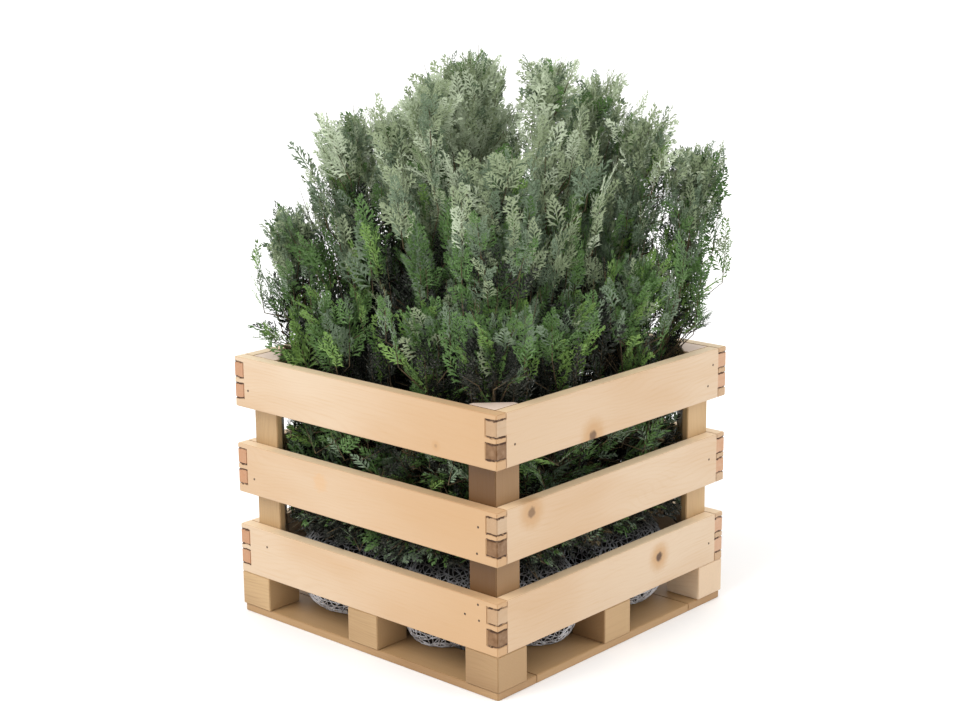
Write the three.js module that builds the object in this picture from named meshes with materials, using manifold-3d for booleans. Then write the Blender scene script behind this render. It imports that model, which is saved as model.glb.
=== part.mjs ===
// A columnar Lawson cypress, grown as one clump of upright stems from a net-wrapped root ball,
// standing in a square slatted crate of pale pine. Millimetres, +Z up. The origin is on the ground
// at the middle of the crate's underside. The front is -Y and the right side is +X.

import * as THREE from "three";
import { mergeVertices } from "three/addons/utils/BufferGeometryUtils.js";
import Module from "manifold-3d";

const wasm = await Module();
wasm.setup();

// Crate
const CRATE_SIDE = 650;
const FIT_GAP = 0.3;
const BOARD_THICKNESS = 24;
const BOARD_HEIGHT = 95;
const BOARD_BOTTOMS = [80, 238.5, 405];
const FINGER_DROPS = [10, 39, 50, 78];
const FINGER_GAP = 0.8;
const POST_LEG = 61;
const POST_BLUNT = 12;
const BLOCK_SIDE = 75;
const BASE_THICKNESS = 15;
const BASE_WIDTH = 100;
const BASE_INSET = 3;

const HALF = CRATE_SIDE / 2;
const INSIDE = HALF - BOARD_THICKNESS;
const RIM = BOARD_BOTTOMS[2] + BOARD_HEIGHT;
const BLOCK_HEIGHT = BOARD_BOTTOMS[0] - BASE_THICKNESS - 2 * FIT_GAP;
const BLOCK_MIDDLE = (BOARD_BOTTOMS[0] + BASE_THICKNESS) / 2;
const BLOCK_CENTRE = HALF - BLOCK_SIDE / 2;

// Root ball: rounded lobes pressed out between the crate's blocks, each [x, y, radius, top]
const LOBE_FACETS = 12;
const LOBE_BOTTOM = BASE_THICKNESS + FIT_GAP;
const LOBE_FOOT_SHARE = 0.6;
const LOBE_WIDEST_SHARE = 0.45;
const ROOT_CROWN_TOP = 220;
const ROOT_CROWN_RADIUS = 62;
const ROOT_CROWN_FOOT = 93;
const ROOT_CROWN_DEPTH = 80;
const ROOT_CROWN_FACETS = 18;
const LOBE_ARC_STEPS = 3;
const ROOT_LOBES = [
  [0, 0, 165, 214],
  [-165, -165, 117, 196],
  [165, 165, 117, 196],
  [84, -200, 74, 182],
  [200, -84, 80, 182],
  [-200, 84, 80, 182],
  [-84, 200, 74, 182],
];
const BLOCK_DENT = 2;

// Stems: foot ring on the root crown, and where each stem ends and its column of foliage goes on
const STEM_RING = 44;
const STEM_FOOT_RADIUS = 9;
const STEM_FOOT_RISE = 10;
const STEM_END_RADIUS = 5;
const STEM_KNEE_HEIGHT = 330;
const STEM_KNEE_SHARE = 0.8;
const TRUNK_FOOT_RADIUS = 24;
const TRUNK_FLARE_HEIGHT = 45;
const TRUNK_RADIUS = 15;
const TRUNK_END_RADIUS = 6;
const LIMB_STEPS = 6;
const TRUNK_SIDES = 12;
const STEM_SIDES = 10;

const TRUNK = { end: [-12, 2, 780], tip: [-26, 4, 1052] };
const STEMS = {
  front: { end: [8, -152, 450], tip: [10, -139, 1016] },
  front_right: { end: [150, -152, 440], tip: [180, -148, 903] },
  right: { end: [152, 8, 450], tip: [143, 22, 1049] },
  back_right: { end: [158, 160, 450], tip: [216, 209, 944] },
  back: { end: [24, 160, 450], tip: [105, 216, 1000] },
  back_left: { end: [-150, 156, 450], tip: [-159, 166, 992] },
  left: { end: [-160, 0, 450], tip: [-194, -14, 933] },
  front_left: { end: [-152, -152, 440], tip: [-167, -164, 942] },
};

// Outer masses: the stem that carries each, the height where it leaves that stem, and its tip
const SKIRTS = {
  corner_front_left: { from: "front_left", leaves: 268, tip: [-256, -246, 775] },
  corner_front_right: { from: "front_right", leaves: 268, tip: [262, -254, 640] },
  corner_back_right: { from: "back_right", leaves: 268, tip: [306, 290, 878] },
  corner_back_left: { from: "back_left", leaves: 268, tip: [-262, 256, 770] },
  front_side: { from: "front", leaves: 262, tip: [112, -262, 655] },
  front_low: { from: "front", leaves: 292, tip: [-118, -266, 640] },
  right_side: { from: "right", leaves: 262, tip: [268, -92, 640] },
  right_low: { from: "right", leaves: 292, tip: [276, 112, 690] },
  back_side: { from: "back", leaves: 268, tip: [10, 268, 690] },
  left_side: { from: "left", leaves: 268, tip: [-270, 6, 680] },
};

// Inner masses leave the trunk
const INNER = {
  inner_front: { leaves: 400, tip: [76, -70, 850] },
  inner_back: { leaves: 420, tip: [-84, 82, 900] },
};

// Foliage rule: each mass has a stem along its axis, a slim core round it, twigs and toothed leaves
const SEED = 4071;
const SEED_STEP = 101;
const GOLDEN_ANGLE = Math.PI * (3 - Math.sqrt(5));
const AXIS_SAMPLES = 10;
const KNEE_WALL_REACH = 262;
const KNEE_CORNER_REACH = 450;

const MASS_STEM_RADIUS = 3.6;
const MASS_STEM_END_RADIUS = 1.6;
const MASS_STEM_STRAIGHT = 5;
const CORE_SIDES = 5;
const CORE_RINGS = 7;
const CORE_START = 0.1;
const CORE_MARGIN = 3;
const CORE_WALL_RISE = 75;
const SLIVER_SIZE = 0.6;

// Twigs turn by the golden angle; a twig that doesn't fit tries again a turn further
const TWIG_RADIUS = 1.9;
const TWIG_END_RADIUS = 1.1;
const TWIG_STEP = 5;
const TWIG_TRIES = 4;
const TRY_TURN = 1.6;
const TURN_JITTER = 0.7;
const TILT_JITTER = 0.15;
const SIZE_JITTER = 0.2;
const TOP_TWIG_SHARE = 0.6;
const TOP_LEAF_SHARE = 0.8;

// Leaf outline and thickness, as shares of the leaf's length, with [out, up] for one side's teeth
const LEAF_TEETH = [
  [0.31, 0.42],
  [0.12, 0.46],
  [0.21, 0.78],
];
const LEAF_THICKEST = 0.2;
const LEAF_HALF_THICKNESS = 0.07;
const LEAF_LEAN_SHARE = 0.62;
const LEAF_SUNK = 5;
const LEAF_APART = 10;
const LEAF_ROWS = 12;
const LEAF_ROOT_SAMPLES = 20;
const LEAF_SCALES = [1, 0.85, 0.7, 0.55];

// Leaves on a twig: how far along it, the turn from the twig's heading, and the share of full size
const SHOOTS = [
  { from: 1, swing: 0, size: 1 },
  { from: 0.5, swing: 1.2, size: 0.9 },
  { from: 0.35, swing: -1.2, size: 0.85 },
];

// Clearances: a mass keeps the points that are nearer to its own axis than to any other
const HEIGHT_WEIGHT = 0.6;
const SPACE_MARGIN = 3;
const LIMB_MARGIN = 4;
const WALL_MARGIN = 5;
const BALL_MARGIN = 1.05;
const FOLIAGE_FLOOR = 186;

// Each kind's lean runs from its foot to its tip, and its bow is the [out, up] share of both knees
const FOLIAGE = {
  column: { twigs: 8, core: 40, reach: 46, leaf: 160, lean: [0.75, 0.45], bow: [[0.4, 0.35], [0.9, 0.7]] },
  skirt: { twigs: 8, core: 38, reach: 46, leaf: 155, lean: [1.75, 0.6], bow: [[0.7, 0.02], [1, 0.2]] },
  inner: { twigs: 4, core: 42, reach: 50, leaf: 145, lean: [0.9, 0.5], bow: [[0.6, 0.1], [1, 0.4]] },
};

const COLOURS = {
  pine: { color: 0xe6c9a4, roughness: 0.6 },
  pine_dark: { color: 0xb08d5e, roughness: 0.7 },
  net: { color: 0x57504a, roughness: 0.95 },
  bark: { color: 0x6b4a34, roughness: 0.9 },
  foliage: { color: 0x6f8f5d, roughness: 0.8 },
};
const materials = Object.fromEntries(
  Object.entries(COLOURS).map(([name, look]) => [
    name,
    new THREE.MeshStandardMaterial({ ...look, metalness: 0 }),
  ]),
);

const part = new THREE.Group();
const lerp = THREE.MathUtils.lerp;

function addMesh(parent, name, geometry, material, position = [0, 0, 0]) {
  const mesh = new THREE.Mesh(geometry, materials[material]);
  mesh.name = name;
  mesh.position.set(...position);
  parent.add(mesh);
  return mesh;
}

// Solids: joining closed meshes
function toSolid(geometry) {
  const bare = geometry.clone();
  bare.deleteAttribute("normal");
  bare.deleteAttribute("uv");
  const merged = mergeVertices(bare, 1e-4);
  return new wasm.Manifold(
    new wasm.Mesh({
      numProp: 3,
      vertProperties: new Float32Array(merged.attributes.position.array),
      triVerts: new Uint32Array(merged.index.array),
    }),
  );
}

function toGeometry(solid) {
  const mesh = solid.getMesh();
  const geometry = new THREE.BufferGeometry();
  geometry.setAttribute("position", new THREE.BufferAttribute(mesh.vertProperties, 3));
  geometry.setIndex(new THREE.BufferAttribute(mesh.triVerts, 1));
  return geometry;
}

function join(geometries) {
  return geometries.map(toSolid).reduce((sum, solid) => sum.add(solid));
}

function biggestPiece(solid) {
  return solid.decompose().reduce((best, piece) => (piece.volume() > best.volume() ? piece : best));
}

// Crate walls: the front and back boards keep the outer and middle fingers, the side boards the others
function boardOutline(keepsOuterFingers) {
  const levels = [0, ...FINGER_DROPS, BOARD_HEIGHT].map((drop) => BOARD_HEIGHT - drop).reverse();
  const last = levels.length - 2;
  const end = [];
  for (let i = 0; i <= last; i += 1) {
    const kept = (last - i) % 2 === (keepsOuterFingers ? 0 : 1);
    const reach = kept ? HALF : INSIDE - FIT_GAP;
    const trim = (kept ? FINGER_GAP : -FINGER_GAP) / 2;
    end.push([reach, levels[i] + (i === 0 ? 0 : trim)]);
    end.push([reach, levels[i + 1] - (i === last ? 0 : trim)]);
  }
  const otherEnd = end.map(([reach, height]) => [-reach, height]).reverse();
  return new THREE.Shape([...end, ...otherEnd].map(([x, y]) => new THREE.Vector2(x, y)));
}

function addWall(side, quarterTurns) {
  const wall = new THREE.Group();
  wall.rotation.z = (quarterTurns * Math.PI) / 2;
  part.add(wall);
  const outline = boardOutline(quarterTurns % 2 === 0);
  BOARD_BOTTOMS.forEach((bottom, i) => {
    const board = new THREE.ExtrudeGeometry(outline, { depth: BOARD_THICKNESS, bevelEnabled: false });
    const mesh = addMesh(wall, `${side}_board_${i + 1}`, board, "pine", [0, -INSIDE, bottom]);
    mesh.rotation.x = Math.PI / 2;
  });
  const block = new THREE.BoxGeometry(BLOCK_SIDE, BLOCK_SIDE, BLOCK_HEIGHT);
  addMesh(wall, `${side}_middle_block`, block, "pine", [0, -BLOCK_CENTRE, BLOCK_MIDDLE]);
}

["front", "right", "back", "left"].forEach(addWall);

// Corners: a three-cornered post with blunt ends stands on each corner block
function addCorner(name, quarterTurns) {
  const corner = new THREE.Group();
  corner.rotation.z = (quarterTurns * Math.PI) / 2;
  part.add(corner);
  const block = new THREE.BoxGeometry(BLOCK_SIDE, BLOCK_SIDE, BLOCK_HEIGHT);
  addMesh(corner, `${name}_corner_block`, block, "pine", [-BLOCK_CENTRE, -BLOCK_CENTRE, BLOCK_MIDDLE]);
  const section = new THREE.Shape(
    [
      [0, 0],
      [POST_LEG, 0],
      [POST_LEG, POST_BLUNT],
      [POST_BLUNT, POST_LEG],
      [0, POST_LEG],
    ].map(([x, y]) => new THREE.Vector2(x, y)),
  );
  const height = RIM - BOARD_BOTTOMS[0] - 2 * FIT_GAP;
  const post = new THREE.ExtrudeGeometry(section, { depth: height, bevelEnabled: false });
  const inner = -(INSIDE - FIT_GAP);
  addMesh(corner, `${name}_post`, post, "pine_dark", [inner, inner, BOARD_BOTTOMS[0] + FIT_GAP]);
}

["front_left", "front_right", "back_right", "back_left"].forEach(addCorner);

// Base: full-length boards at the front and back, with three boards between them
function addBase() {
  const outer = HALF - BASE_INSET;
  const innerEdge = outer - BASE_WIDTH;
  const between = 2 * (innerEdge - FIT_GAP);
  const middle = outer - BASE_WIDTH / 2;
  const rise = BASE_THICKNESS / 2;
  const long = new THREE.BoxGeometry(2 * outer, BASE_WIDTH, BASE_THICKNESS);
  const short = new THREE.BoxGeometry(BASE_WIDTH, between, BASE_THICKNESS);
  addMesh(part, "base_front", long, "pine_dark", [0, -middle, rise]);
  addMesh(part, "base_back", long, "pine_dark", [0, middle, rise]);
  addMesh(part, "base_left", short, "pine_dark", [-middle, 0, rise]);
  addMesh(part, "base_right", short, "pine_dark", [middle, 0, rise]);
  addMesh(part, "base_centre", short, "pine_dark", [0, 0, rise]);
}

addBase();

// Root ball: lobes with a flat foot, and a flat crown that the stems stand on
function lobeGeometry([x, y, radius, top]) {
  const foot = radius * LOBE_FOOT_SHARE;
  const widest = lerp(LOBE_BOTTOM, top, LOBE_WIDEST_SHARE);
  const profile = [new THREE.Vector2(0, LOBE_BOTTOM)];
  for (let i = 0; i <= LOBE_ARC_STEPS; i += 1) {
    const angle = (i / LOBE_ARC_STEPS) * (Math.PI / 2);
    const out = foot + (radius - foot) * Math.sin(angle);
    profile.push(new THREE.Vector2(out, widest - (widest - LOBE_BOTTOM) * Math.cos(angle)));
  }
  for (let i = 1; i <= LOBE_ARC_STEPS; i += 1) {
    const angle = (i / LOBE_ARC_STEPS) * (Math.PI / 2);
    const out = i === LOBE_ARC_STEPS ? 0 : radius * Math.cos(angle);
    profile.push(new THREE.Vector2(out, widest + (top - widest) * Math.sin(angle)));
  }
  const lobe = new THREE.LatheGeometry(profile, LOBE_FACETS);
  lobe.rotateX(Math.PI / 2);
  lobe.translate(x, y, 0);
  return lobe;
}

function crownGeometry() {
  const crown = new THREE.CylinderGeometry(
    ROOT_CROWN_RADIUS,
    ROOT_CROWN_FOOT,
    ROOT_CROWN_DEPTH,
    ROOT_CROWN_FACETS,
  );
  crown.rotateX(Math.PI / 2);
  crown.translate(0, 0, ROOT_CROWN_TOP - ROOT_CROWN_DEPTH / 2);
  return crown;
}

function rootBallGeometry() {
  let ball = join([...ROOT_LOBES.map(lobeGeometry), crownGeometry()]);
  const width = BLOCK_SIDE + 2 * BLOCK_DENT;
  for (let turn = 0; turn < 4; turn += 1) {
    const dent = new THREE.BoxGeometry(width, width, BLOCK_HEIGHT + 2 * BLOCK_DENT);
    dent.translate(0, -BLOCK_CENTRE, BLOCK_MIDDLE);
    dent.rotateZ((turn * Math.PI) / 2);
    ball = ball.subtract(toSolid(dent));
  }
  return toGeometry(ball);
}

addMesh(part, "root_ball", rootBallGeometry(), "net");

// Limbs: round tapered tubes along a curve, with flat ends
function tube(points, radii, sides) {
  const positions = [];
  const index = [];
  const ahead = points.map((_, i) => {
    const next = points[Math.min(i + 1, points.length - 1)];
    return next.clone().sub(points[Math.max(i - 1, 0)]).normalize();
  });
  const across = new THREE.Vector3();
  const alongX = Math.abs(ahead[0].x) > Math.abs(ahead[0].y);
  const side = new THREE.Vector3(alongX ? 0 : 1, alongX ? 1 : 0, 0);
  points.forEach((point, i) => {
    side.addScaledVector(ahead[i], -side.dot(ahead[i])).normalize();
    across.crossVectors(ahead[i], side);
    for (let k = 0; k < sides; k += 1) {
      const angle = (2 * Math.PI * k) / sides;
      const rim = point.clone().addScaledVector(side, radii[i] * Math.cos(angle));
      rim.addScaledVector(across, radii[i] * Math.sin(angle));
      positions.push(rim.x, rim.y, rim.z);
    }
  });
  for (let i = 0; i + 1 < points.length; i += 1) {
    for (let k = 0; k < sides; k += 1) {
      const a = i * sides + k;
      const b = i * sides + ((k + 1) % sides);
      index.push(a, b, b + sides, a, b + sides, a + sides);
    }
  }
  const start = positions.length / 3;
  const first = points[0];
  const last = points[points.length - 1];
  positions.push(first.x, first.y, first.z, last.x, last.y, last.z);
  const top = (points.length - 1) * sides;
  for (let k = 0; k < sides; k += 1) {
    const next = (k + 1) % sides;
    index.push(start, next, k, start + 1, top + k, top + next);
  }
  const geometry = new THREE.BufferGeometry();
  geometry.setAttribute("position", new THREE.Float32BufferAttribute(positions, 3));
  geometry.setIndex(index);
  return geometry;
}


function bend(start, knee, end) {
  return new THREE.QuadraticBezierCurve3(start, knee, end).getPoints(LIMB_STEPS);
}

const limbs = [];

function addLimb(name, points, radii, sides) {
  const ends = points.map((point) => point.clone());
  limbs.push({ name, points: ends, radii });
  addMesh(part, name, tube(points, radii, sides), "bark");
}

function growTrunk() {
  const foot = new THREE.Vector3(0, 0, ROOT_CROWN_TOP + FIT_GAP);
  const flare = new THREE.Vector3(0, 0, foot.z + TRUNK_FLARE_HEIGHT);
  const end = new THREE.Vector3(...TRUNK.end);
  const points = [foot];
  const radii = [TRUNK_FOOT_RADIUS];
  for (let i = 0; i <= LIMB_STEPS; i += 1) {
    points.push(flare.clone().lerp(end, i / LIMB_STEPS));
    radii.push(lerp(TRUNK_RADIUS, TRUNK_END_RADIUS, i / LIMB_STEPS));
  }
  addLimb("trunk", points, radii, TRUNK_SIDES);
}

function growStem(name, { end }) {
  const heading = Math.atan2(end[1], end[0]);
  const foot = new THREE.Vector3(
    STEM_RING * Math.cos(heading),
    STEM_RING * Math.sin(heading),
    ROOT_CROWN_TOP + FIT_GAP,
  );
  const knee = new THREE.Vector3(
    end[0] * STEM_KNEE_SHARE,
    end[1] * STEM_KNEE_SHARE,
    STEM_KNEE_HEIGHT,
  );
  const footing = foot.clone().setZ(foot.z + STEM_FOOT_RISE);
  const curve = bend(footing, knee, new THREE.Vector3(...end));
  const points = [foot, ...curve];
  const radii = [STEM_FOOT_RADIUS, STEM_FOOT_RADIUS];
  for (let i = 1; i <= LIMB_STEPS; i += 1) {
    radii.push(lerp(STEM_FOOT_RADIUS, STEM_END_RADIUS, i / LIMB_STEPS));
  }
  addLimb(`stem_${name}`, points, radii, STEM_SIDES);
}

growTrunk();
Object.entries(STEMS).forEach(([name, stem]) => growStem(name, stem));

// Masses: every one starts 0.3 mm clear of a limb's tip or side and keeps to its own space
function limbNamed(name) {
  return limbs.find((limb) => limb.name === name);
}

function startFromTip(limb) {
  const last = limb.points.length - 1;
  const along = limb.points[last].clone().sub(limb.points[last - 1]).normalize();
  return { start: limb.points[last].clone().addScaledVector(along, FIT_GAP), along };
}

function startFromSide(limb, height, tip) {
  const upper = limb.points.findIndex((point) => point.z > height);
  const below = limb.points[upper - 1];
  const above = limb.points[upper];
  const share = (height - below.z) / (above.z - below.z);
  const middle = below.clone().lerp(above, share);
  const grain = above.clone().sub(below).normalize();
  const along = tip.clone().sub(middle).setZ(0);
  along.addScaledVector(grain, -along.dot(grain)).normalize();
  const radius = lerp(limb.radii[upper - 1], limb.radii[upper], share);
  return { start: middle.addScaledVector(along, radius + FIT_GAP), along };
}

const masses = [];

function planMass(name, kind, { start, along }, tipPlace) {
  const tip = new THREE.Vector3(...tipPlace);
  const knees = FOLIAGE[kind].bow.map(([out, up]) => {
    const knee = start.clone().lerp(tip, out);
    const wide = Math.max(Math.abs(knee.x), Math.abs(knee.y)) / KNEE_WALL_REACH;
    const deep = (Math.abs(knee.x) + Math.abs(knee.y)) / KNEE_CORNER_REACH;
    return knee.divideScalar(Math.max(1, wide, deep)).setZ(lerp(start.z, tip.z, up));
  });
  const axis = new THREE.CubicBezierCurve3(start, ...knees, tip).getSpacedPoints(AXIS_SAMPLES - 1);
  masses.push({ name, kind, axis, along, order: masses.length });
}

planMass("crown_top", "column", startFromTip(limbNamed("trunk")), TRUNK.tip);
Object.entries(STEMS).forEach(([name, { tip }]) => {
  planMass(`column_${name}`, "column", startFromTip(limbNamed(`stem_${name}`)), tip);
});
Object.entries(SKIRTS).forEach(([name, { from, leaves, tip }]) => {
  const side = startFromSide(limbNamed(`stem_${from}`), leaves, new THREE.Vector3(...tip));
  planMass(`skirt_${name}`, "skirt", side, tip);
});
Object.entries(INNER).forEach(([name, { leaves, tip }]) => {
  const side = startFromSide(limbNamed("trunk"), leaves, new THREE.Vector3(...tip));
  planMass(name, "inner", side, tip);
});

function seededRandom(seed) {
  let state = seed >>> 0;
  return () => {
    state = (state + 0x6d2b79f5) >>> 0;
    let mixed = Math.imul(state ^ (state >>> 15), 1 | state);
    mixed = (mixed + Math.imul(mixed ^ (mixed >>> 7), 61 | mixed)) ^ mixed;
    return ((mixed ^ (mixed >>> 14)) >>> 0) / 4294967296;
  };
}

function gapToAxis(point, axis) {
  let nearest = Infinity;
  for (const site of axis) {
    const rise = (point.z - site.z) * HEIGHT_WEIGHT;
    nearest = Math.min(nearest, Math.hypot(point.x - site.x, point.y - site.y, rise));
  }
  return nearest;
}

function gapToCrate(point, rise) {
  const x = Math.abs(point.x);
  const y = Math.abs(point.y);
  if (point.z > RIM + rise) return HALF - Math.max(x, y);
  const toWall = INSIDE - Math.max(x, y);
  const toPost = (2 * INSIDE - POST_LEG - POST_BLUNT - x - y) / Math.SQRT2;
  return Math.min(toWall, toPost, point.z - FOLIAGE_FLOOR);
}

function aboveRootBall(point) {
  if (point.z > ROOT_CROWN_TOP + WALL_MARGIN) return true;
  if (Math.hypot(point.x, point.y) < ROOT_CROWN_FOOT) return false;
  return ROOT_LOBES.every(([x, y, radius, top]) => {
    const widest = lerp(LOBE_BOTTOM, top, LOBE_WIDEST_SHARE);
    const out = Math.hypot(point.x - x, point.y - y) / radius;
    const up = Math.max(0, (point.z - widest) / (top - widest));
    return Math.hypot(out, up) > BALL_MARGIN;
  });
}

function gapToLimbs(point) {
  const nearest = new THREE.Vector3();
  const piece = new THREE.Line3();
  let gap = Infinity;
  limbs.forEach(({ points, radii }) => {
    for (let i = 0; i + 1 < points.length; i += 1) {
      piece.set(points[i], points[i + 1]);
      piece.closestPointToPoint(point, true, nearest);
      gap = Math.min(gap, nearest.distanceTo(point) - radii[i]);
    }
  });
  return gap;
}

function keepsToSpace(mass, points) {
  const tip = mass.axis[mass.axis.length - 1];
  return points.every((point) => {
    if (gapToCrate(point, WALL_MARGIN) < WALL_MARGIN || point.z > tip.z) return false;
    if (!aboveRootBall(point)) return false;
    const own = gapToAxis(point, mass.axis);
    const free = masses.every(
      (other) => other === mass || gapToAxis(point, other.axis) > own + SPACE_MARGIN,
    );
    return free && gapToLimbs(point) > LIMB_MARGIN;
  });
}

function leafFrame(root, direction, turn) {
  const side = new THREE.Vector3(Math.cos(turn), Math.sin(turn), 0);
  side.addScaledVector(direction, -side.dot(direction)).normalize();
  return { root, direction, side, face: new THREE.Vector3().crossVectors(side, direction) };
}

function leafPoint({ root, direction, side, face }, length, [out, up], depth = 0) {
  return root
    .clone()
    .addScaledVector(direction, up * length)
    .addScaledVector(side, out * length)
    .addScaledVector(face, depth * length);
}

function leafHalfWidth(up) {
  const [[widest, shoulder]] = LEAF_TEETH;
  return widest * Math.min(up / shoulder, (1 - up) / (1 - shoulder));
}

function leafSamples(frame, length) {
  const samples = [];
  for (let row = 1; row <= LEAF_ROWS; row += 1) {
    const up = row / (LEAF_ROWS + 1);
    const half = leafHalfWidth(up);
    [-1, -0.5, 0, 0.5, 1].forEach((out) => samples.push(leafPoint(frame, length, [out * half, up])));
  }
  LEAF_TEETH.forEach(([out, up]) => {
    samples.push(leafPoint(frame, length, [out, up]), leafPoint(frame, length, [-out, up]));
  });
  [1, 0.5].forEach((share) => {
    const up = 1 - share * (1 - LEAF_THICKEST);
    const depth = share * LEAF_HALF_THICKNESS;
    samples.push(leafPoint(frame, length, [0, up], depth), leafPoint(frame, length, [0, up], -depth));
  });
  samples.push(leafPoint(frame, length, [0, 1]));
  return samples;
}

// A spray is a toothed blade, thickest low on its midrib, with teeth that point to its tip
function leafGeometry(frame, length) {
  const right = LEAF_TEETH.map(([out, up]) => [out, up]);
  const left = LEAF_TEETH.map(([out, up]) => [-out, up]).reverse();
  const outline = [[0, 0], ...right, [0, 1], ...left];
  const points = outline.map((place) => leafPoint(frame, length, place));
  points.push(leafPoint(frame, length, [0, LEAF_THICKEST], LEAF_HALF_THICKNESS));
  points.push(leafPoint(frame, length, [0, LEAF_THICKEST], -LEAF_HALF_THICKNESS));
  const count = outline.length;
  const index = [];
  for (let i = 0; i < count; i += 1) {
    const next = (i + 1) % count;
    index.push(i, next, count, next, i, count + 1);
  }
  const geometry = new THREE.BufferGeometry();
  const positions = points.flatMap((point) => [point.x, point.y, point.z]);
  geometry.setAttribute("position", new THREE.Float32BufferAttribute(positions, 3));
  geometry.setIndex(index);
  return geometry;
}

function apartFrom(points, taken) {
  return points.every((point) => taken.every((other) => point.distanceTo(other) > LEAF_APART));
}

function axisAt(axis, share) {
  const place = share * (axis.length - 1);
  const i = Math.min(Math.floor(place), axis.length - 2);
  return axis[i].clone().lerp(axis[i + 1], place - i);
}

function pointsBetween(start, end, step) {
  const count = Math.max(2, Math.ceil(start.distanceTo(end) / step));
  return Array.from({ length: count }, (_, i) => start.clone().lerp(end, (i + 1) / count));
}

function vary(random, spread) {
  return 1 + spread * (2 * random() - 1);
}

function leaning(heading, lean) {
  return new THREE.Vector3(
    Math.cos(heading) * Math.sin(lean),
    Math.sin(heading) * Math.sin(lean),
    Math.cos(lean),
  );
}

// The largest leaf that keeps to the mass's space and clear of the leaves already there
function fitLeaf(mass, frame, wanted, taken) {
  for (const scale of LEAF_SCALES) {
    const length = wanted * scale;
    const samples = leafSamples(frame, length);
    const free = samples.slice(LEAF_ROOT_SAMPLES);
    if (keepsToSpace(mass, samples) && apartFrom(free, taken)) {
      taken.push(...free);
      return [{ frame, length }];
    }
  }
  return [];
}

// Leaves of one mass: a top leaf on the stem's end, then twigs by the golden angle with leaves on them
function growMass(mass) {
  const { twigs, reach, leaf, lean } = FOLIAGE[mass.kind];
  const random = seededRandom(SEED + mass.order * SEED_STEP);
  const tip = mass.axis[mass.axis.length - 1];
  const stemShare = 1 - leaf / (mass.axis[0].distanceTo(mass.axis[1]) * (AXIS_SAMPLES - 1));
  const stemEnd = axisAt(mass.axis, stemShare);
  const topFrame = leafFrame(stemEnd, tip.clone().sub(stemEnd).normalize(), random() * Math.PI);
  const topLeaf = { frame: topFrame, length: tip.distanceTo(stemEnd) };
  const grown = { twigs: [], leaves: [topLeaf], stemShare };
  const taken = leafSamples(topFrame, topLeaf.length);
  for (let k = 0; k < twigs; k += 1) {
    const share = (k + 0.5) / twigs;
    const start = axisAt(mass.axis, stemShare * share);
    for (let attempt = 0; attempt < TWIG_TRIES; attempt += 1) {
      const heading = k * GOLDEN_ANGLE + attempt * TRY_TURN + random() * TURN_JITTER;
      const tilt = lerp(...lean, Math.sqrt(share)) * vary(random, TILT_JITTER);
      const length = reach * lerp(1, TOP_TWIG_SHARE, share) * vary(random, SIZE_JITTER);
      const size = leaf * lerp(1, TOP_LEAF_SHARE, share) * vary(random, SIZE_JITTER);
      const direction = leaning(heading, tilt);
      const end = start.clone().addScaledVector(direction, length);
      if (!keepsToSpace(mass, pointsBetween(start, end, TWIG_STEP))) continue;
      const leaves = SHOOTS.flatMap((shoot) => {
        const root = start.clone().lerp(end, shoot.from);
        const facing = heading + shoot.swing;
        const pointing = leaning(facing, tilt * LEAF_LEAN_SHARE);
        const turn = facing + Math.PI / 2 + (random() - 0.5) * TURN_JITTER;
        const frame = leafFrame(root, pointing, turn);
        return fitLeaf(mass, frame, size * shoot.size, taken);
      });
      if (leaves.length === 0) continue;
      grown.twigs.push([start, end]);
      grown.leaves.push(...leaves);
      break;
    }
  }
  return grown;
}

// The core is as wide as the mass's own space, its limbs and the crate leave it
function coreRadius(mass, point, share) {
  const wanted = FOLIAGE[mass.kind].core * Math.sin(Math.PI * lerp(CORE_START, 1, share));
  const others = masses.filter((other) => other !== mass);
  const toOthers = Math.min(...others.map((other) => gapToAxis(point, other.axis))) / 2;
  const toCrate = gapToCrate(point, CORE_WALL_RISE);
  const room = Math.min(toOthers, toCrate, gapToLimbs(point)) - CORE_MARGIN;
  return Math.max(MASS_STEM_END_RADIUS, Math.min(wanted, room));
}

function massGeometry(mass) {
  const { twigs, leaves, stemShare } = growMass(mass);
  const straight = mass.axis[0].clone().addScaledVector(mass.along, MASS_STEM_STRAIGHT);
  const points = [mass.axis[0], straight];
  const radii = [MASS_STEM_RADIUS, MASS_STEM_RADIUS];
  for (let i = 1; i < CORE_RINGS; i += 1) {
    const share = i / CORE_RINGS;
    const point = axisAt(mass.axis, stemShare * share);
    points.push(point);
    radii.push(coreRadius(mass, point, share));
  }
  points.push(axisAt(mass.axis, stemShare));
  radii.push(MASS_STEM_END_RADIUS);
  const pieces = [tube(points, radii, CORE_SIDES)];
  twigs.forEach(([start, end]) => {
    pieces.push(tube([start, end], [TWIG_RADIUS, TWIG_END_RADIUS], 3));
  });
  leaves.forEach(({ frame, length }) => {
    const sunk = { ...frame, root: frame.root.clone().addScaledVector(frame.direction, -LEAF_SUNK) };
    pieces.push(leafGeometry(sunk, length + LEAF_SUNK));
  });
  return toGeometry(biggestPiece(join(pieces)).simplify(SLIVER_SIZE));
}

masses.forEach((mass) => addMesh(part, mass.name, massGeometry(mass), "foliage"));

export default part;
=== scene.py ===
"""Looks for the potted columnar cypress in its slatted pine crate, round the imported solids.

Metres, +Z up, the crate's front is -Y and its right side is +X.
"""

import math
from collections import namedtuple

import bmesh
import bpy
import numpy as np
from mathutils import Matrix, Vector, noise


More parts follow.
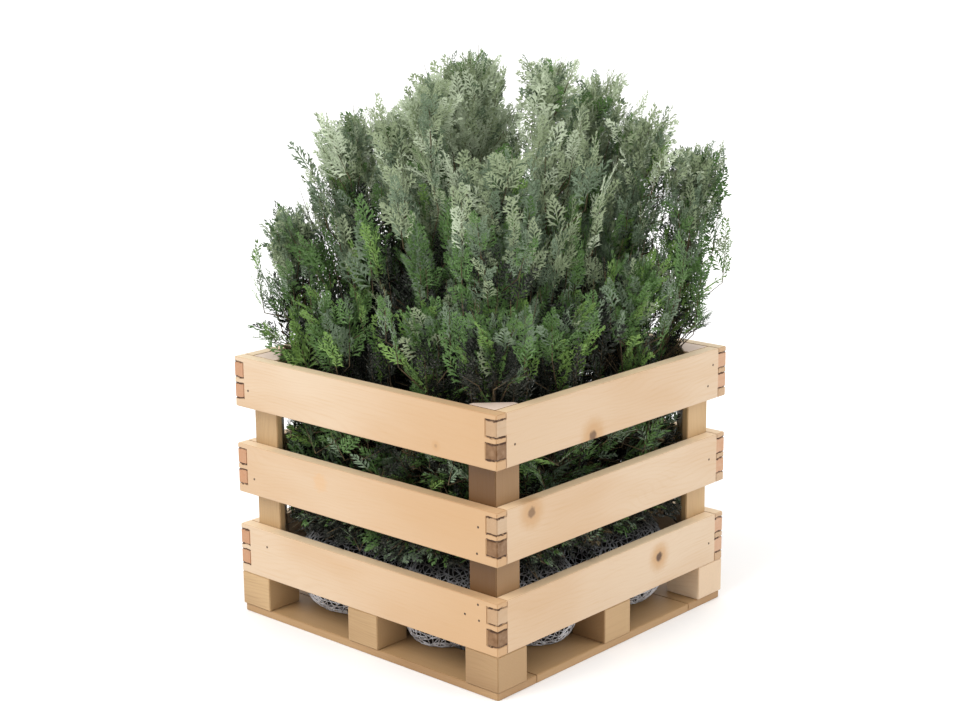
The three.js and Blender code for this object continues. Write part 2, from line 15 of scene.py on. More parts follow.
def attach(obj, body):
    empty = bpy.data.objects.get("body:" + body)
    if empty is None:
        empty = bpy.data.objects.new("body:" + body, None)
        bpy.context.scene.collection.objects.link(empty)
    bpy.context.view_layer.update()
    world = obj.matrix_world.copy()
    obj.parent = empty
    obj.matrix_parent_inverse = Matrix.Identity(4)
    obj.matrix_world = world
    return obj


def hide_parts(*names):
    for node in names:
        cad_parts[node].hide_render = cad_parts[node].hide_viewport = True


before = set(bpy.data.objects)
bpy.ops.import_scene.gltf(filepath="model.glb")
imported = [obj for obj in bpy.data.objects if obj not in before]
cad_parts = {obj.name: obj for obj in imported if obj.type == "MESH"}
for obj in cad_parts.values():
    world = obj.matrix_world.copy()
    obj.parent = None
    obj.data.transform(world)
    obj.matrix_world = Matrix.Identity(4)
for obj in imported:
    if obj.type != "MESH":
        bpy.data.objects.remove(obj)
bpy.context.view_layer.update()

MM = 0.001
QUARTER = math.pi / 2

# Crate sizes, the same as the solids'
HALF = 325 * MM
INSIDE = 301 * MM
RIM = 500 * MM
BOARD_HEIGHT = 95 * MM
BOARD_BOTTOMS = [80 * MM, 238.5 * MM, 405 * MM]
FINGER_DROPS = [10 * MM, 39 * MM, 50 * MM, 78 * MM]
POST_CORNER = 2 * INSIDE - 73 * MM
BLOCK_WIDTH = 75 * MM
SIDES = ["front", "right", "back", "left"]
CORNERS = ["front_left", "front_right", "back_right", "back_left"]
SLAT_GAPS = [(bottom + BOARD_HEIGHT, above) for bottom, above in zip(BOARD_BOTTOMS, BOARD_BOTTOMS[1:])]

# A quarter turn for each side, from the front round to the left
SPINS = [np.array([[c, -s, 0], [s, c, 0], [0, 0, 1]]) for c, s in ((1, 0), (0, 1), (-1, 0), (0, -1))]


def plain(red, green, blue):
    """A display colour, 0 to 255, as the linear colour that a shader's socket takes."""
    shares = [value / 255 for value in (red, green, blue)]
    linear = [s / 12.92 if s < 0.04045 else ((s + 0.055) / 1.055) ** 2.4 for s in shares]
    return (*linear, 1.0)


# Shader nodes

FLOAT = "NodeSocketFloat"
VECTOR = "NodeSocketVector"
COLOUR = "NodeSocketColor"

# The colour sockets of a Mix node go by number, because several of its sockets share a name
MIX_SHARE = 0
MIX_FIRST = 6
MIX_SECOND = 7
MIX_COLOUR = 2


def add_node(tree, kind, inputs=(), **settings):
    """Adds a node, sets its own options, and links or sets each (socket, value) of its inputs."""
    node = tree.nodes.new(kind)
    for name, value in settings.items():
        setattr(node, name, value)
    for socket, value in dict(inputs).items():
        if isinstance(value, bpy.types.NodeSocket):
            tree.links.new(value, node.inputs[socket])
        else:
            node.inputs[socket].default_value = value
    return node


def maths(tree, operation, *values):
    node = add_node(tree, "ShaderNodeMath", enumerate(values), operation=operation)
    return node.outputs[0]


def vector_maths(tree, operation, *vectors):
    node = add_node(tree, "ShaderNodeVectorMath", enumerate(vectors), operation=operation)
    return node.outputs["Vector"]


def vector_length(tree, vector):
    node = add_node(tree, "ShaderNodeVectorMath", {0: vector}, operation="LENGTH")
    return node.outputs["Value"]


def split(tree, vector):
    """The vector's X, Y and Z."""
    return add_node(tree, "ShaderNodeSeparateXYZ", {"Vector": vector}).outputs


def object_place(tree):
    return add_node(tree, "ShaderNodeTexCoord").outputs["Object"]


def attribute(tree, name):
    return add_node(tree, "ShaderNodeAttribute", attribute_name=name).outputs["Fac"]


def between(tree, value, low, high):
    """1 above high and 0 below low, and a smooth step in between; low may be the larger of the two."""
    node = add_node(
        tree,
        "ShaderNodeMapRange",
        {"Value": value, "From Min": low, "From Max": high},
        interpolation_type="SMOOTHSTEP",
    )
    return node.outputs["Result"]


def blend_colour(tree, share, first, second):
    inputs = {MIX_SHARE: share, MIX_FIRST: first, MIX_SECOND: second}
    return add_node(tree, "ShaderNodeMix", inputs, data_type="RGBA").outputs[MIX_COLOUR]


def tinted(tree, colour, mask, most, tint):
    """The colour with a tint laid over it by the mask, which counts for the share most."""
    return blend_colour(tree, maths(tree, "MULTIPLY", mask, most), colour, tint)


def cloud(tree, vector, scale, detail=3.0, roughness=0.55):
    node = add_node(
        tree,
        "ShaderNodeTexNoise",
        {"Vector": vector, "Scale": scale, "Detail": detail, "Roughness": roughness},
    )
    return node.outputs["Fac"]


def stretched(tree, vector, scale):
    return add_node(tree, "ShaderNodeMapping", {"Vector": vector, "Scale": scale}).outputs["Vector"]


def turned(tree, vector, turn):
    return add_node(tree, "ShaderNodeMapping", {"Vector": vector, "Rotation": turn}).outputs["Vector"]


def new_group(name, inputs, outputs):
    """A shader node group with its sockets named, given back with its input and output nodes."""
    tree = bpy.data.node_groups.new(name, "ShaderNodeTree")
    for label, kind in inputs:
        tree.interface.new_socket(name=label, in_out="INPUT", socket_type=kind)
    for label, kind in outputs:
        tree.interface.new_socket(name=label, in_out="OUTPUT", socket_type=kind)
    return tree, tree.nodes.new("NodeGroupInput").outputs, tree.nodes.new("NodeGroupOutput").inputs


def use_group(tree, group, inputs):
    return add_node(tree, "ShaderNodeGroup", inputs, node_tree=group).outputs


def new_material(name, roughness):
    material = bpy.data.materials.new(name)
    material.use_nodes = True
    tree = material.node_tree
    shader = tree.nodes["Principled BSDF"]
    shader.inputs["Roughness"].default_value = roughness
    return material, tree, shader


def add_bump(tree, shader, height, strength, distance):
    bump = add_node(tree, "ShaderNodeBump", {"Height": height, "Strength": strength, "Distance": distance})
    tree.links.new(bump.outputs["Normal"], shader.inputs["Normal"])


# Camera and light

PHOTO_WIDTH = 970
FOCAL_PX = 1810.2
SENSOR_WIDTH = 36
CAMERA_PLACE = Vector((2.208, -2.433, 1.2748))
CAMERA_YAW = math.radians(-42.12)
CAMERA_PITCH = math.radians(13.26)
CAMERA_ROLL = math.radians(-0.50)
STUDIO_SPAN = 60
FLOOR_WHITE = (0.95, 0.95, 0.95, 1)


def make_camera():
    data = bpy.data.cameras.new("camera")
    data.sensor_width = SENSOR_WIDTH
    data.lens = FOCAL_PX * SENSOR_WIDTH / PHOTO_WIDTH
    data.clip_end = STUDIO_SPAN
    level = math.cos(CAMERA_PITCH)
    ahead = Vector((math.sin(CAMERA_YAW) * level, math.cos(CAMERA_YAW) * level, -math.sin(CAMERA_PITCH)))
    right = Vector((math.cos(CAMERA_YAW), -math.sin(CAMERA_YAW), 0))
    up = right.cross(ahead)
    turned_right = math.cos(CAMERA_ROLL) * right + math.sin(CAMERA_ROLL) * up
    turned_up = math.cos(CAMERA_ROLL) * up - math.sin(CAMERA_ROLL) * right
    turn = Matrix((turned_right, turned_up, -ahead)).transposed().to_4x4()
    camera = bpy.data.objects.new("camera", data)
    camera.matrix_world = Matrix.Translation(CAMERA_PLACE) @ turn
    bpy.context.scene.collection.objects.link(camera)
    bpy.context.scene.camera = camera


def soft_sun(name, place, strength, spread, colour=(1, 1, 1)):
    """A broad far light that shines from the given place towards the crate."""
    data = bpy.data.lights.new(name, "SUN")
    data.energy = strength
    data.angle = math.radians(spread)
    data.color = colour
    light = bpy.data.objects.new(name, data)
    light.rotation_euler = Vector(place).to_track_quat("Z", "Y").to_euler()
    bpy.context.scene.collection.objects.link(light)


def make_studio():
    scene = bpy.context.scene
    scene.view_settings.view_transform = "Standard"
    world = bpy.data.worlds.new("studio")
    world.use_nodes = True
    background = world.node_tree.nodes["Background"]
    background.inputs["Color"].default_value = (1, 1, 1, 1)
    background.inputs["Strength"].default_value = 1.0
    scene.world = world
    soft_sun("key", place=(-0.5, -2.2, 2.6), strength=1.5, spread=35, colour=(1, 0.99, 0.97))
    soft_sun("rim", place=(1.6, 1.0, 2.0), strength=0.7, spread=50)

    material, _, shader = new_material("floor_white", 0.9)
    shader.inputs["Base Color"].default_value = FLOOR_WHITE
    bpy.ops.mesh.primitive_plane_add(size=STUDIO_SPAN, location=(0, 0, 0))
    floor = bpy.context.object
    floor.name = "floor"
    floor.data.materials.append(material)


make_camera()
make_studio()


# Pine: growth rings about a heart that lies below the board, fine fibres, and broad warm patches

# How closely each feature comes along the grain and across it, per metre
SWAY = (2.2, 6, 6)
FIBRES = (14, 420, 420)
PATCHES = (2.5, 7, 7)
PORES = (300, 300, 300)
RINGS = 900.0

# How far a board's number shifts its grain, and how the heart of its tree wanders below it, in metres
BOARD_SHIFT = 1.7
HEART_SWAY = 0.16
HEART_DEPTH = 0.13
PORE_BROWN = plain(128, 88, 52)

# How strongly each feature shows
WARM_SHARE = 0.5
RING_SHARE = 0.2
FIBRE_SHARE = 0.25
END_GRAIN_SHARE = 0.55


def pine_group():
    tree, given, put = new_group(
        "pine_grain",
        [("Along", VECTOR), ("Facing", VECTOR), ("Board", FLOAT), ("Pale", COLOUR), ("Deep", COLOUR)],
        [("Color", COLOUR), ("Roughness", FLOAT), ("Height", FLOAT)],
    )
    x, y, z = split(tree, given["Along"])
    along = maths(tree, "ADD", x, maths(tree, "MULTIPLY", given["Board"], BOARD_SHIFT))
    moved = add_node(tree, "ShaderNodeCombineXYZ", {"X": along, "Y": y, "Z": z}).outputs["Vector"]
    sway, fibre, patches, pores = (
        cloud(tree, stretched(tree, moved, closeness), 1.0, 2.0)
        for closeness in (SWAY, FIBRES, PATCHES, PORES)
    )
    heart = maths(tree, "MULTIPLY_ADD", sway, HEART_SWAY, -HEART_DEPTH)
    depth = maths(tree, "ADD", maths(tree, "ADD", y, z), heart)
    rings = maths(tree, "SINE", maths(tree, "MULTIPLY", depth, RINGS))
    ring_lines = between(tree, rings, 0.2, 1.0)
    colour = tinted(tree, given["Pale"], between(tree, patches, 0.4, 0.72), WARM_SHARE, given["Deep"])
    colour = tinted(tree, colour, maths(tree, "MULTIPLY", ring_lines, patches), RING_SHARE, given["Deep"])
    colour = tinted(tree, colour, between(tree, fibre, 0.5, 0.8), FIBRE_SHARE, given["Deep"])
    facing_along = maths(tree, "ABSOLUTE", split(tree, given["Facing"])["X"])
    end_colour = blend_colour(tree, pores, given["Deep"], PORE_BROWN)
    colour = tinted(tree, colour, between(tree, facing_along, 0.75, 0.9), END_GRAIN_SHARE, end_colour)
    tree.links.new(colour, put["Color"])
    tree.links.new(maths(tree, "MULTIPLY_ADD", fibre, 0.25, 0.42), put["Roughness"])
    tree.links.new(maths(tree, "MULTIPLY_ADD", ring_lines, 0.4, fibre), put["Height"])
    return tree


def knot_group():
    """A knot's dark heart, and the halo round it, from its place on the board."""
    tree, given, put = new_group(
        "knot",
        [("Place", VECTOR), ("Centre", VECTOR), ("Radius", FLOAT)],
        [("Heart", FLOAT), ("Halo", FLOAT)],
    )
    wobble = cloud(tree, given["Place"], 130.0, 2.0)
    away = vector_maths(tree, "SUBTRACT", given["Place"], given["Centre"])
    spread = maths(tree, "DIVIDE", vector_length(tree, away), given["Radius"])
    ragged = maths(tree, "MULTIPLY_ADD", wobble, 0.8, maths(tree, "SUBTRACT", spread, 0.4))
    tree.links.new(between(tree, ragged, 1.05, 0.45), put["Heart"])
    tree.links.new(between(tree, ragged, 3.4, 1.0), put["Halo"])
    return tree


PINE = pine_group()
KNOT = knot_group()

# Knots: a point on the board's outer face, and the radius of the knot's heart
KNOTS = [
    ((HALF, -0.074, 0.411), 13 * MM),
    ((HALF, -0.237, 0.314), 12 * MM),
    ((HALF, 0.123, 0.137), 11 * MM),
    ((0.189, -HALF, 0.424), 4 * MM),
    ((-0.150, HALF, 0.450), 10 * MM),
    ((0.190, HALF, 0.280), 8 * MM),
    ((-HALF, 0.120, 0.300), 10 * MM),
    ((-HALF, -0.170, 0.140), 8 * MM),
]
KNOT_HEART = plain(74, 44, 20)
KNOT_HALO = plain(184, 140, 90)
HEART_SHARE = 0.95
HALO_SHARE = 0.75

# The boards are more amber towards this corner
AMBER_CORNER = (HALF, -HALF, 0)
AMBER_REACH = (0.5, 0.02)
AMBER_SHARE = 0.85
AMBER_SIDE_SHARE = 0.35

# A warm stain on the front middle board
STAIN_PLACE = (-0.101, -HALF, 0.300)
STAIN_RADIUS = 22 * MM
STAIN_COLOUR = plain(206, 158, 106)
STAIN_SHARE = 0.35

# The stained ends of the side boards' fingers, brown at the amber corner, and the seams round them
RED_FINGER = plain(176, 112, 74)
BROWN_FINGER = plain(104, 66, 24)
BROWN_REACH = (0.08, 0.06)
FINGER_SHARE = 0.55
UPPER_LESS = 0.35
LOWER_MORE = 0.4
FINGER_EDGE = 1 * MM
SEAM_WANDER = 9 * MM
SEAM_HALF = (2.2 * MM, 0.9 * MM)
SEAM_COLOUR = plain(84, 54, 32)


def finger_masks(tree, place):
    """Where the boards interlock at a corner: the upper fingers, the lower ones and their torn seams."""
    x, y, _ = split(tree, place)
    outside = [
        maths(tree, "GREATER_THAN", maths(tree, "ABSOLUTE", out), INSIDE - FINGER_EDGE)
        for out in (x, y)
    ]
    corner = maths(tree, "MULTIPLY", *outside)
    drop = attribute(tree, "drop")
    torn = maths(tree, "MULTIPLY_ADD", cloud(tree, place, 85.0, 3.0), SEAM_WANDER, -SEAM_WANDER / 2)
    ragged = maths(tree, "ADD", drop, torn)
    seams = 0.0
    for level in FINGER_DROPS:
        near = maths(tree, "ABSOLUTE", maths(tree, "SUBTRACT", ragged, level))
        seams = maths(tree, "MAXIMUM", seams, between(tree, near, *SEAM_HALF))
    masks = [seams]
    for low, high in (FINGER_DROPS[:2], FINGER_DROPS[2:]):
        below = between(tree, drop, low, low + FINGER_EDGE)
        above = between(tree, drop, high, high - FINGER_EDGE)
        masks.append(maths(tree, "MULTIPLY", below, above))
    return [maths(tree, "MULTIPLY", corner, mask) for mask in masks]


def marked_boards(tree, colour, place, deep, stained_fingers):
    """The boards' colour with their knots, the amber corner, the stain, the fingers and the seams."""
    for centre, radius in KNOTS:
        knot = use_group(tree, KNOT, {"Place": place, "Centre": centre, "Radius": radius})
        colour = tinted(tree, colour, knot["Halo"], HALO_SHARE, KNOT_HALO)
        colour = tinted(tree, colour, knot["Heart"], HEART_SHARE, KNOT_HEART)
    away = vector_maths(tree, "SUBTRACT", place, AMBER_CORNER)
    reach = vector_length(tree, vector_maths(tree, "MULTIPLY", away, (1, 1, 0)))
    amber_share = AMBER_SIDE_SHARE if stained_fingers else AMBER_SHARE
    colour = tinted(tree, colour, between(tree, reach, *AMBER_REACH), amber_share, deep)
    stain = use_group(tree, KNOT, {"Place": place, "Centre": STAIN_PLACE, "Radius": STAIN_RADIUS})
    colour = tinted(tree, colour, stain["Heart"], STAIN_SHARE, STAIN_COLOUR)
    seams, upper, lower = finger_masks(tree, place)
    if stained_fingers:
        at_amber = between(tree, reach, *BROWN_REACH)
        patchy = maths(tree, "MULTIPLY_ADD", cloud(tree, place, 90.0, 3.0), 0.8, 0.5)
        finger_colour = blend_colour(tree, at_amber, RED_FINGER, BROWN_FINGER)
        for finger, change in ((upper, -UPPER_LESS), (lower, LOWER_MORE)):
            share = maths(tree, "MULTIPLY_ADD", at_amber, change, FINGER_SHARE)
            colour = tinted(tree, colour, finger, maths(tree, "MULTIPLY", share, patchy), finger_colour)
    worn = between(tree, cloud(tree, place, 110.0, 2.0), 0.3, 0.5)
    return tinted(tree, colour, seams, worn, SEAM_COLOUR)


def pine_material(name, turn, pale, deep, top, boards=False, stained_fingers=False):
    """Pine whose grain runs along X once turned by the Euler rotation turn; top is a painted highlight on its
    upper faces.
    """
    material, tree, shader = new_material(name, 0.55)
    place = object_place(tree)
    normal = add_node(tree, "ShaderNodeNewGeometry").outputs["Normal"]
    grain = use_group(tree, PINE, {
        "Along": turned(tree, place, turn),
        "Facing": turned(tree, normal, turn),
        "Board": attribute(tree, "board"),
        "Pale": pale,
        "Deep": deep,
    })
    shade = attribute(tree, "shade")
    colour = blend_colour(tree, shade, grain["Color"], deep)
    to_right, to_back, to_sky = split(tree, normal)
    # Painted highlight: faces that look up are tinted towards the top colour
    colour = tinted(tree, colour, between(tree, to_sky, 0.6, 0.9), TOP_HIGHLIGHT_SHARE, top)
    if boards:
        colour = marked_boards(tree, colour, place, deep, stained_fingers)
    else:
        # Painted light: faces that look right are lightened towards the pale colour, less so the deeper the
        # shade
        right_painted_light = maths(tree, "MULTIPLY_ADD", shade, *RIGHT_PAINTED_LIGHT)
        colour = tinted(tree, colour, between(tree, to_right, 0.5, 0.7), right_painted_light, pale)
    # Painted shade: the posts' front faces are darkened towards a shade brown, the more so the deeper the
    # shade
    if turn == ALONG_Z:
        front_painted_shade = maths(tree, "MULTIPLY_ADD", shade, *FRONT_PAINTED_SHADE)
        colour = tinted(tree, colour, between(tree, to_back, -0.5, -0.9), front_painted_shade, PAINTED_SHADE_BROWN)
    tree.links.new(colour, shader.inputs["Base Color"])
    tree.links.new(grain["Roughness"], shader.inputs["Roughness"])
    add_bump(tree, shader, grain["Height"], 0.25, 0.4 * MM)
    return material


ALONG_X = (0, 0, 0)
ALONG_Y = (0, 0, -QUARTER)
ALONG_Z = (0, QUARTER, 0)
PALE_PINE = plain(205, 182, 155)
DEEP_PINE = plain(188, 150, 108)
HONEY_PINE = plain(198, 166, 122)
HONEY_DEEP = plain(120, 86, 50)
SAWN_PINE = plain(178, 144, 102)
SAWN_DEEP = plain(128, 92, 54)
# Painted highlight for the boards' upper faces
CREAM_TOP_HIGHLIGHT = plain(238, 214, 178)
# Painted shade brown for the posts' front faces
PAINTED_SHADE_BROWN = plain(86, 54, 10)
# Painted highlight for the posts' upper faces
POST_TOP_HIGHLIGHT = plain(240, 218, 202)
# Painted light: a lighter block colour for the back right block
PAINTED_LIT_BLOCK = plain(226, 204, 176)
# How strongly the painted highlight shows on upper faces
TOP_HIGHLIGHT_SHARE = 0.8

# Painted light on right faces, painted shade on post fronts: what a piece's shade adds, and the share without
# it
RIGHT_PAINTED_LIGHT = (-0.3, 0.5)
FRONT_PAINTED_SHADE = (0.72, 0.05)

WOOD = {
    "long_board": pine_material("pine_long_boards", ALONG_X, PALE_PINE, DEEP_PINE, CREAM_TOP_HIGHLIGHT, boards=True),
    "side_board": pine_material(
        "pine_side_boards", ALONG_Y, PALE_PINE, DEEP_PINE, CREAM_TOP_HIGHLIGHT, boards=True, stained_fingers=True
    ),
    "block": pine_material("pine_blocks_x", ALONG_X, HONEY_PINE, HONEY_DEEP, HONEY_PINE),
    # A painted-light copy of the blocks' pine
    "painted_lit_block": pine_material("pine_blocks_painted_light", ALONG_X, PAINTED_LIT_BLOCK, DEEP_PINE, PAINTED_LIT_BLOCK),
    "side_block": pine_material("pine_blocks_y", ALONG_Y, HONEY_PINE, HONEY_DEEP, HONEY_PINE),
    "post": pine_material("pine_posts", ALONG_Z, HONEY_PINE, HONEY_DEEP, POST_TOP_HIGHLIGHT),
    "long_base": pine_material("pine_base_x", ALONG_X, SAWN_PINE, SAWN_DEEP, SAWN_PINE),
    "short_base": pine_material("pine_base_y", ALONG_Y, SAWN_PINE, SAWN_DEEP, SAWN_PINE),
}

# How the solids' faces are joined and their edges eased
SEAM_DISTANCE = 0.02 * MM
FLAT_ANGLE = math.radians(1)
SHARP_ANGLE = math.radians(30)
EDGE_ROUND = 1.3 * MM


def add_piece(name, mesh, material, replaced=()):
    piece = bpy.data.objects.new(name, mesh)
    bpy.context.scene.collection.objects.link(piece)
    mesh.materials.append(material)
    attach(piece, "root")
    if replaced:
        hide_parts(*replaced)
    return piece


def wooden_piece(node, material, board, shade, top=0.0):
    """The solid's shape with its edges eased, its number and shade, and each point's drop from the top."""
    shape = bmesh.new()
    shape.from_mesh(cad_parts[node].data)
    bmesh.ops.remove_doubles(shape, verts=shape.verts, dist=SEAM_DISTANCE)
    bmesh.ops.dissolve_limit(shape, angle_limit=FLAT_ANGLE, verts=shape.verts, edges=shape.edges)
    sharp = [edge for edge in shape.edges if edge.calc_face_angle(0) > SHARP_ANGLE]
    bmesh.ops.bevel(
        shape,
        geom=sharp,
        offset=EDGE_ROUND,
        offset_type="OFFSET",
        segments=2,
        affect="EDGES",
        clamp_overlap=True,
    )
    bmesh.ops.triangulate(shape, faces=[face for face in shape.faces if len(face.verts) > 4])
    mesh = bpy.data.meshes.new(node + "_wood")
    shape.to_mesh(mesh)
    shape.free()
    heights = np.array([vertex.co.z for vertex in mesh.vertices])
    for label, values in (("board", board), ("shade", shade), ("drop", top - heights)):
        layer = mesh.attributes.new(label, "FLOAT", "POINT")
        layer.data.foreach_set("value", np.broadcast_to(values, heights.shape).astype(np.float32))
    return add_piece(node + "_wood", mesh, WOOD[material], [node])


# How far each piece's wood is towards its deeper colour; on the posts, painted shade
BOARD_SHADES = [(0.12, 0.24, 0.0), (0.0, 0.0, 0.05), (0.15, 0.05, 0.2), (0.1, 0.2, 0.05)]
MIDDLE_BLOCK_SHADES = (0.35, 0.5, 0.3, 0.4)
CORNER_SHADES = {"front_left": 0.1, "front_right": 0.55, "back_right": 0.0, "back_left": 0.2}
# Painted shade on the posts, which stand back behind the boards, darkest on the front right one
POST_PAINTED_SHADES = {"front_left": 0.15, "front_right": 1.0, "back_right": 0.2, "back_left": 0.3}
LONG_BASE_SHADE = 0.2
SHORT_BASE_SHADE = 0.3

# Each piece has a number of its own, which shifts the grain along it; each kind counts up from here
FIRST_NUMBERS = {"board": 1, "middle": 20, "corner": 30, "post": 40, "long_base": 50, "short_base": 60}


def make_crate():
    for turn, side in enumerate(SIDES):
        board, block = ("long_board", "block") if turn % 2 == 0 else ("side_board", "side_block")
        for level, bottom in enumerate(BOARD_BOTTOMS):
            number = FIRST_NUMBERS["board"] + turn * len(BOARD_BOTTOMS) + level
            shade = BOARD_SHADES[turn][level]
            top = bottom + BOARD_HEIGHT
            wooden_piece(f"{side}_board_{level + 1}", board, number, shade, top)
        number = FIRST_NUMBERS["middle"] + turn
        wooden_piece(f"{side}_middle_block", block, number, MIDDLE_BLOCK_SHADES[turn])
    for place, corner in enumerate(CORNERS):
        # The back right block takes the painted-light copy of the blocks' pine
        block = "painted_lit_block" if corner == "back_right" else "block"
        number = FIRST_NUMBERS["corner"] + place
        wooden_piece(f"{corner}_corner_block", block, number, CORNER_SHADES[corner])
        number = FIRST_NUMBERS["post"] + place
        wooden_piece(f"{corner}_post", "post", number, POST_PAINTED_SHADES[corner])
    for kind, shade, names in (
        ("long_base", LONG_BASE_SHADE, ("front", "back")),
        ("short_base", SHORT_BASE_SHADE, ("left", "right", "centre")),
    ):
        for place, name in enumerate(names):
            wooden_piece(f"base_{name}", kind, FIRST_NUMBERS[kind] + place, shade)


make_crate()


# Meshes from arrays

def mesh_from_arrays(name, points, faces, smooth=False):
    """A mesh from an array of points and an array of faces that all have the same number of corners."""
    points = np.asarray(points, np.float32)
    faces = np.asarray(faces, np.int32)
    count, corners = faces.shape
    mesh = bpy.data.meshes.new(name)
    mesh.vertices.add(len(points))
    mesh.vertices.foreach_set("co", points.ravel())
    mesh.loops.add(count * corners)
    mesh.loops.foreach_set("vertex_index", faces.ravel())
    mesh.polygons.add(count)
    mesh.polygons.foreach_set("loop_start", np.arange(count, dtype=np.int32) * corners)
    mesh.polygons.foreach_set("use_smooth", np.full(count, smooth))
    mesh.update(calc_edges=True)
    return mesh


def unit(vectors):
    vectors = np.asarray(vectors, float)
    return vectors / np.maximum(np.linalg.norm(vectors, axis=-1, keepdims=True), 1e-9)


def tube_arrays(points, radii, sides, bulge=None):
    """Points and four-cornered faces of an open tube; bulge adds to the radius, by ring and by side."""
    points = np.asarray(points, float)
    ahead = unit(np.gradient(points, axis=0))
    side = np.array([0.0, 1.0, 0.0] if abs(ahead[0][0]) > abs(ahead[0][1]) else [1.0, 0.0, 0.0])
    rings = []
    angles = np.arange(sides) * (2 * math.pi / sides)
    for i, point in enumerate(points):
        side = unit(side - ahead[i] * (side @ ahead[i]))
        across = np.cross(ahead[i], side)
        spread = radii[i] * (1 + (0 if bulge is None else bulge[i]))
        round_about = np.outer(np.cos(angles), side) + np.outer(np.sin(angles), across)
        rings.append(point + round_about * np.reshape(spread, (-1, 1)))
    count = len(points)
    base = np.arange(count - 1)[:, None] * sides
    here = np.arange(sides)[None, :]
    after = (here + 1) % sides
    faces = np.stack([base + here, base + after, base + sides + after, base + sides + here], axis=-1)
    return np.concatenate(rings), faces.reshape(-1, 4)


def closed_tube(points, radii, sides):
    """A tube of triangles, closed at each end by a fan round its middle."""
    ring_points, walls = tube_arrays(points, radii, sides)
    here = np.arange(sides)
    after = (here + 1) % sides
    last = (len(points) - 1) * sides
    foot = np.full(sides, len(ring_points))
    faces = np.concatenate([
        walls[:, [0, 1, 2]],
        walls[:, [0, 2, 3]],
        np.stack([after, here, foot], axis=-1),
        np.stack([here + last, after + last, foot + 1], axis=-1),
    ])
    return np.concatenate([ring_points, [points[0], points[-1]]]), faces


class Gathered:
    """Collects arrays of points and faces into one mesh."""

    def __init__(self):
        self.points = []
        self.faces = []
        self.count = 0

    def add(self, points, faces):
        self.points.append(np.asarray(points, np.float32))
        self.faces.append(np.asarray(faces, np.int64) + self.count)
        self.count += len(points)

    def triangles(self):
        return sum(len(part) * (part.shape[1] - 2) for part in self.faces)

    def mesh(self, name, smooth=False):
        return mesh_from_arrays(name, np.concatenate(self.points), np.concatenate(self.faces), smooth)


# Limbs, planned as the solids are

ROOT_CROWN_TOP = 220 * MM
ROOT_CROWN_RADIUS = 62 * MM
ROOT_CROWN_FOOT = 93 * MM
FIT_GAP = 0.3 * MM
STEM_RING = 44 * MM
STEM_FOOT_RADIUS = 9 * MM
STEM_FOOT_RISE = 10 * MM
STEM_END_RADIUS = 5 * MM
STEM_KNEE_HEIGHT = 330 * MM
STEM_KNEE_SHARE = 0.8
TRUNK_FOOT_RADIUS = 24 * MM
TRUNK_FLARE_HEIGHT = 45 * MM
TRUNK_RADIUS = 15 * MM
TRUNK_END_RADIUS = 6 * MM
LIMB_STEPS = 6

TRUNK = {"end": (-12, 2, 780), "tip": (-26, 4, 1052)}
STEMS = {
    "front": {"end": (8, -152, 450), "tip": (10, -139, 1016)},
    "front_right": {"end": (150, -152, 440), "tip": (180, -148, 903)},
    "right": {"end": (152, 8, 450), "tip": (143, 22, 1049)},
    "back_right": {"end": (158, 160, 450), "tip": (216, 209, 944)},
    "back": {"end": (24, 160, 450), "tip": (105, 216, 1000)},
    "back_left": {"end": (-150, 156, 450), "tip": (-159, 166, 992)},
    "left": {"end": (-160, 0, 450), "tip": (-194, -14, 933)},
    "front_left": {"end": (-152, -152, 440), "tip": (-167, -164, 942)},
}
SKIRTS = {
    "corner_front_left": ("front_left", 268, (-256, -246, 775)),
    "corner_front_right": ("front_right", 268, (262, -254, 640)),
    "corner_back_right": ("back_right", 268, (306, 290, 878)),
    "corner_back_left": ("back_left", 268, (-262, 256, 770)),
    "front_side": ("front", 262, (112, -262, 655)),
    "front_low": ("front", 292, (-118, -266, 640)),
    "right_side": ("right", 262, (268, -92, 640)),
    "right_low": ("right", 292, (276, 112, 690)),
    "back_side": ("back", 268, (10, 268, 690)),
    "left_side": ("left", 268, (-270, 6, 680)),
}
INNER = {
    "inner_front": (400, (76, -70, 850)),
    "inner_back": (420, (-84, 82, 900)),
}


def metres(place):
    return np.array(place, float) * MM


def lerp(start, end, share):
    return start + (end - start) * share


def bezier(points, shares):
    """Points along a Bezier curve of two or three spans."""
    shares = np.asarray(shares, float)[:, None]
    while len(points) > 1:
        points = [lerp(a, b, shares) for a, b in zip(points, points[1:])]
    return points[0]


def leaning(heading, lean):
    """The direction that leans from upright, towards a compass heading."""
    return np.array([
        math.cos(heading) * math.sin(lean),
        math.sin(heading) * math.sin(lean),
        math.cos(lean),
    ])


def plan_limbs():
    limbs = {}
    foot = np.array([0, 0, ROOT_CROWN_TOP + FIT_GAP])
    flare = foot + [0, 0, TRUNK_FLARE_HEIGHT]
    shares = np.linspace(0, 1, LIMB_STEPS + 1)
    line = lerp(flare, metres(TRUNK["end"]), shares[:, None])
    radii = lerp(TRUNK_RADIUS, TRUNK_END_RADIUS, shares)
    limbs["trunk"] = (np.vstack([foot, line]), np.concatenate([[TRUNK_FOOT_RADIUS], radii]))
    for name, stem in STEMS.items():
        end = metres(stem["end"])
        heading = math.atan2(end[1], end[0])
        foot = STEM_RING * leaning(heading, QUARTER) + [0, 0, ROOT_CROWN_TOP + FIT_GAP]
        footing = foot + [0, 0, STEM_FOOT_RISE]
        knee = np.array([end[0] * STEM_KNEE_SHARE, end[1] * STEM_KNEE_SHARE, STEM_KNEE_HEIGHT])
        radii = lerp(STEM_FOOT_RADIUS, STEM_END_RADIUS, shares)
        points = np.vstack([foot, bezier([footing, knee, end], shares)])
        limbs["stem_" + name] = (points, np.concatenate([[STEM_FOOT_RADIUS], radii]))
    return limbs


LIMBS = plan_limbs()


# Masses of foliage, planned by the same rule as the solids

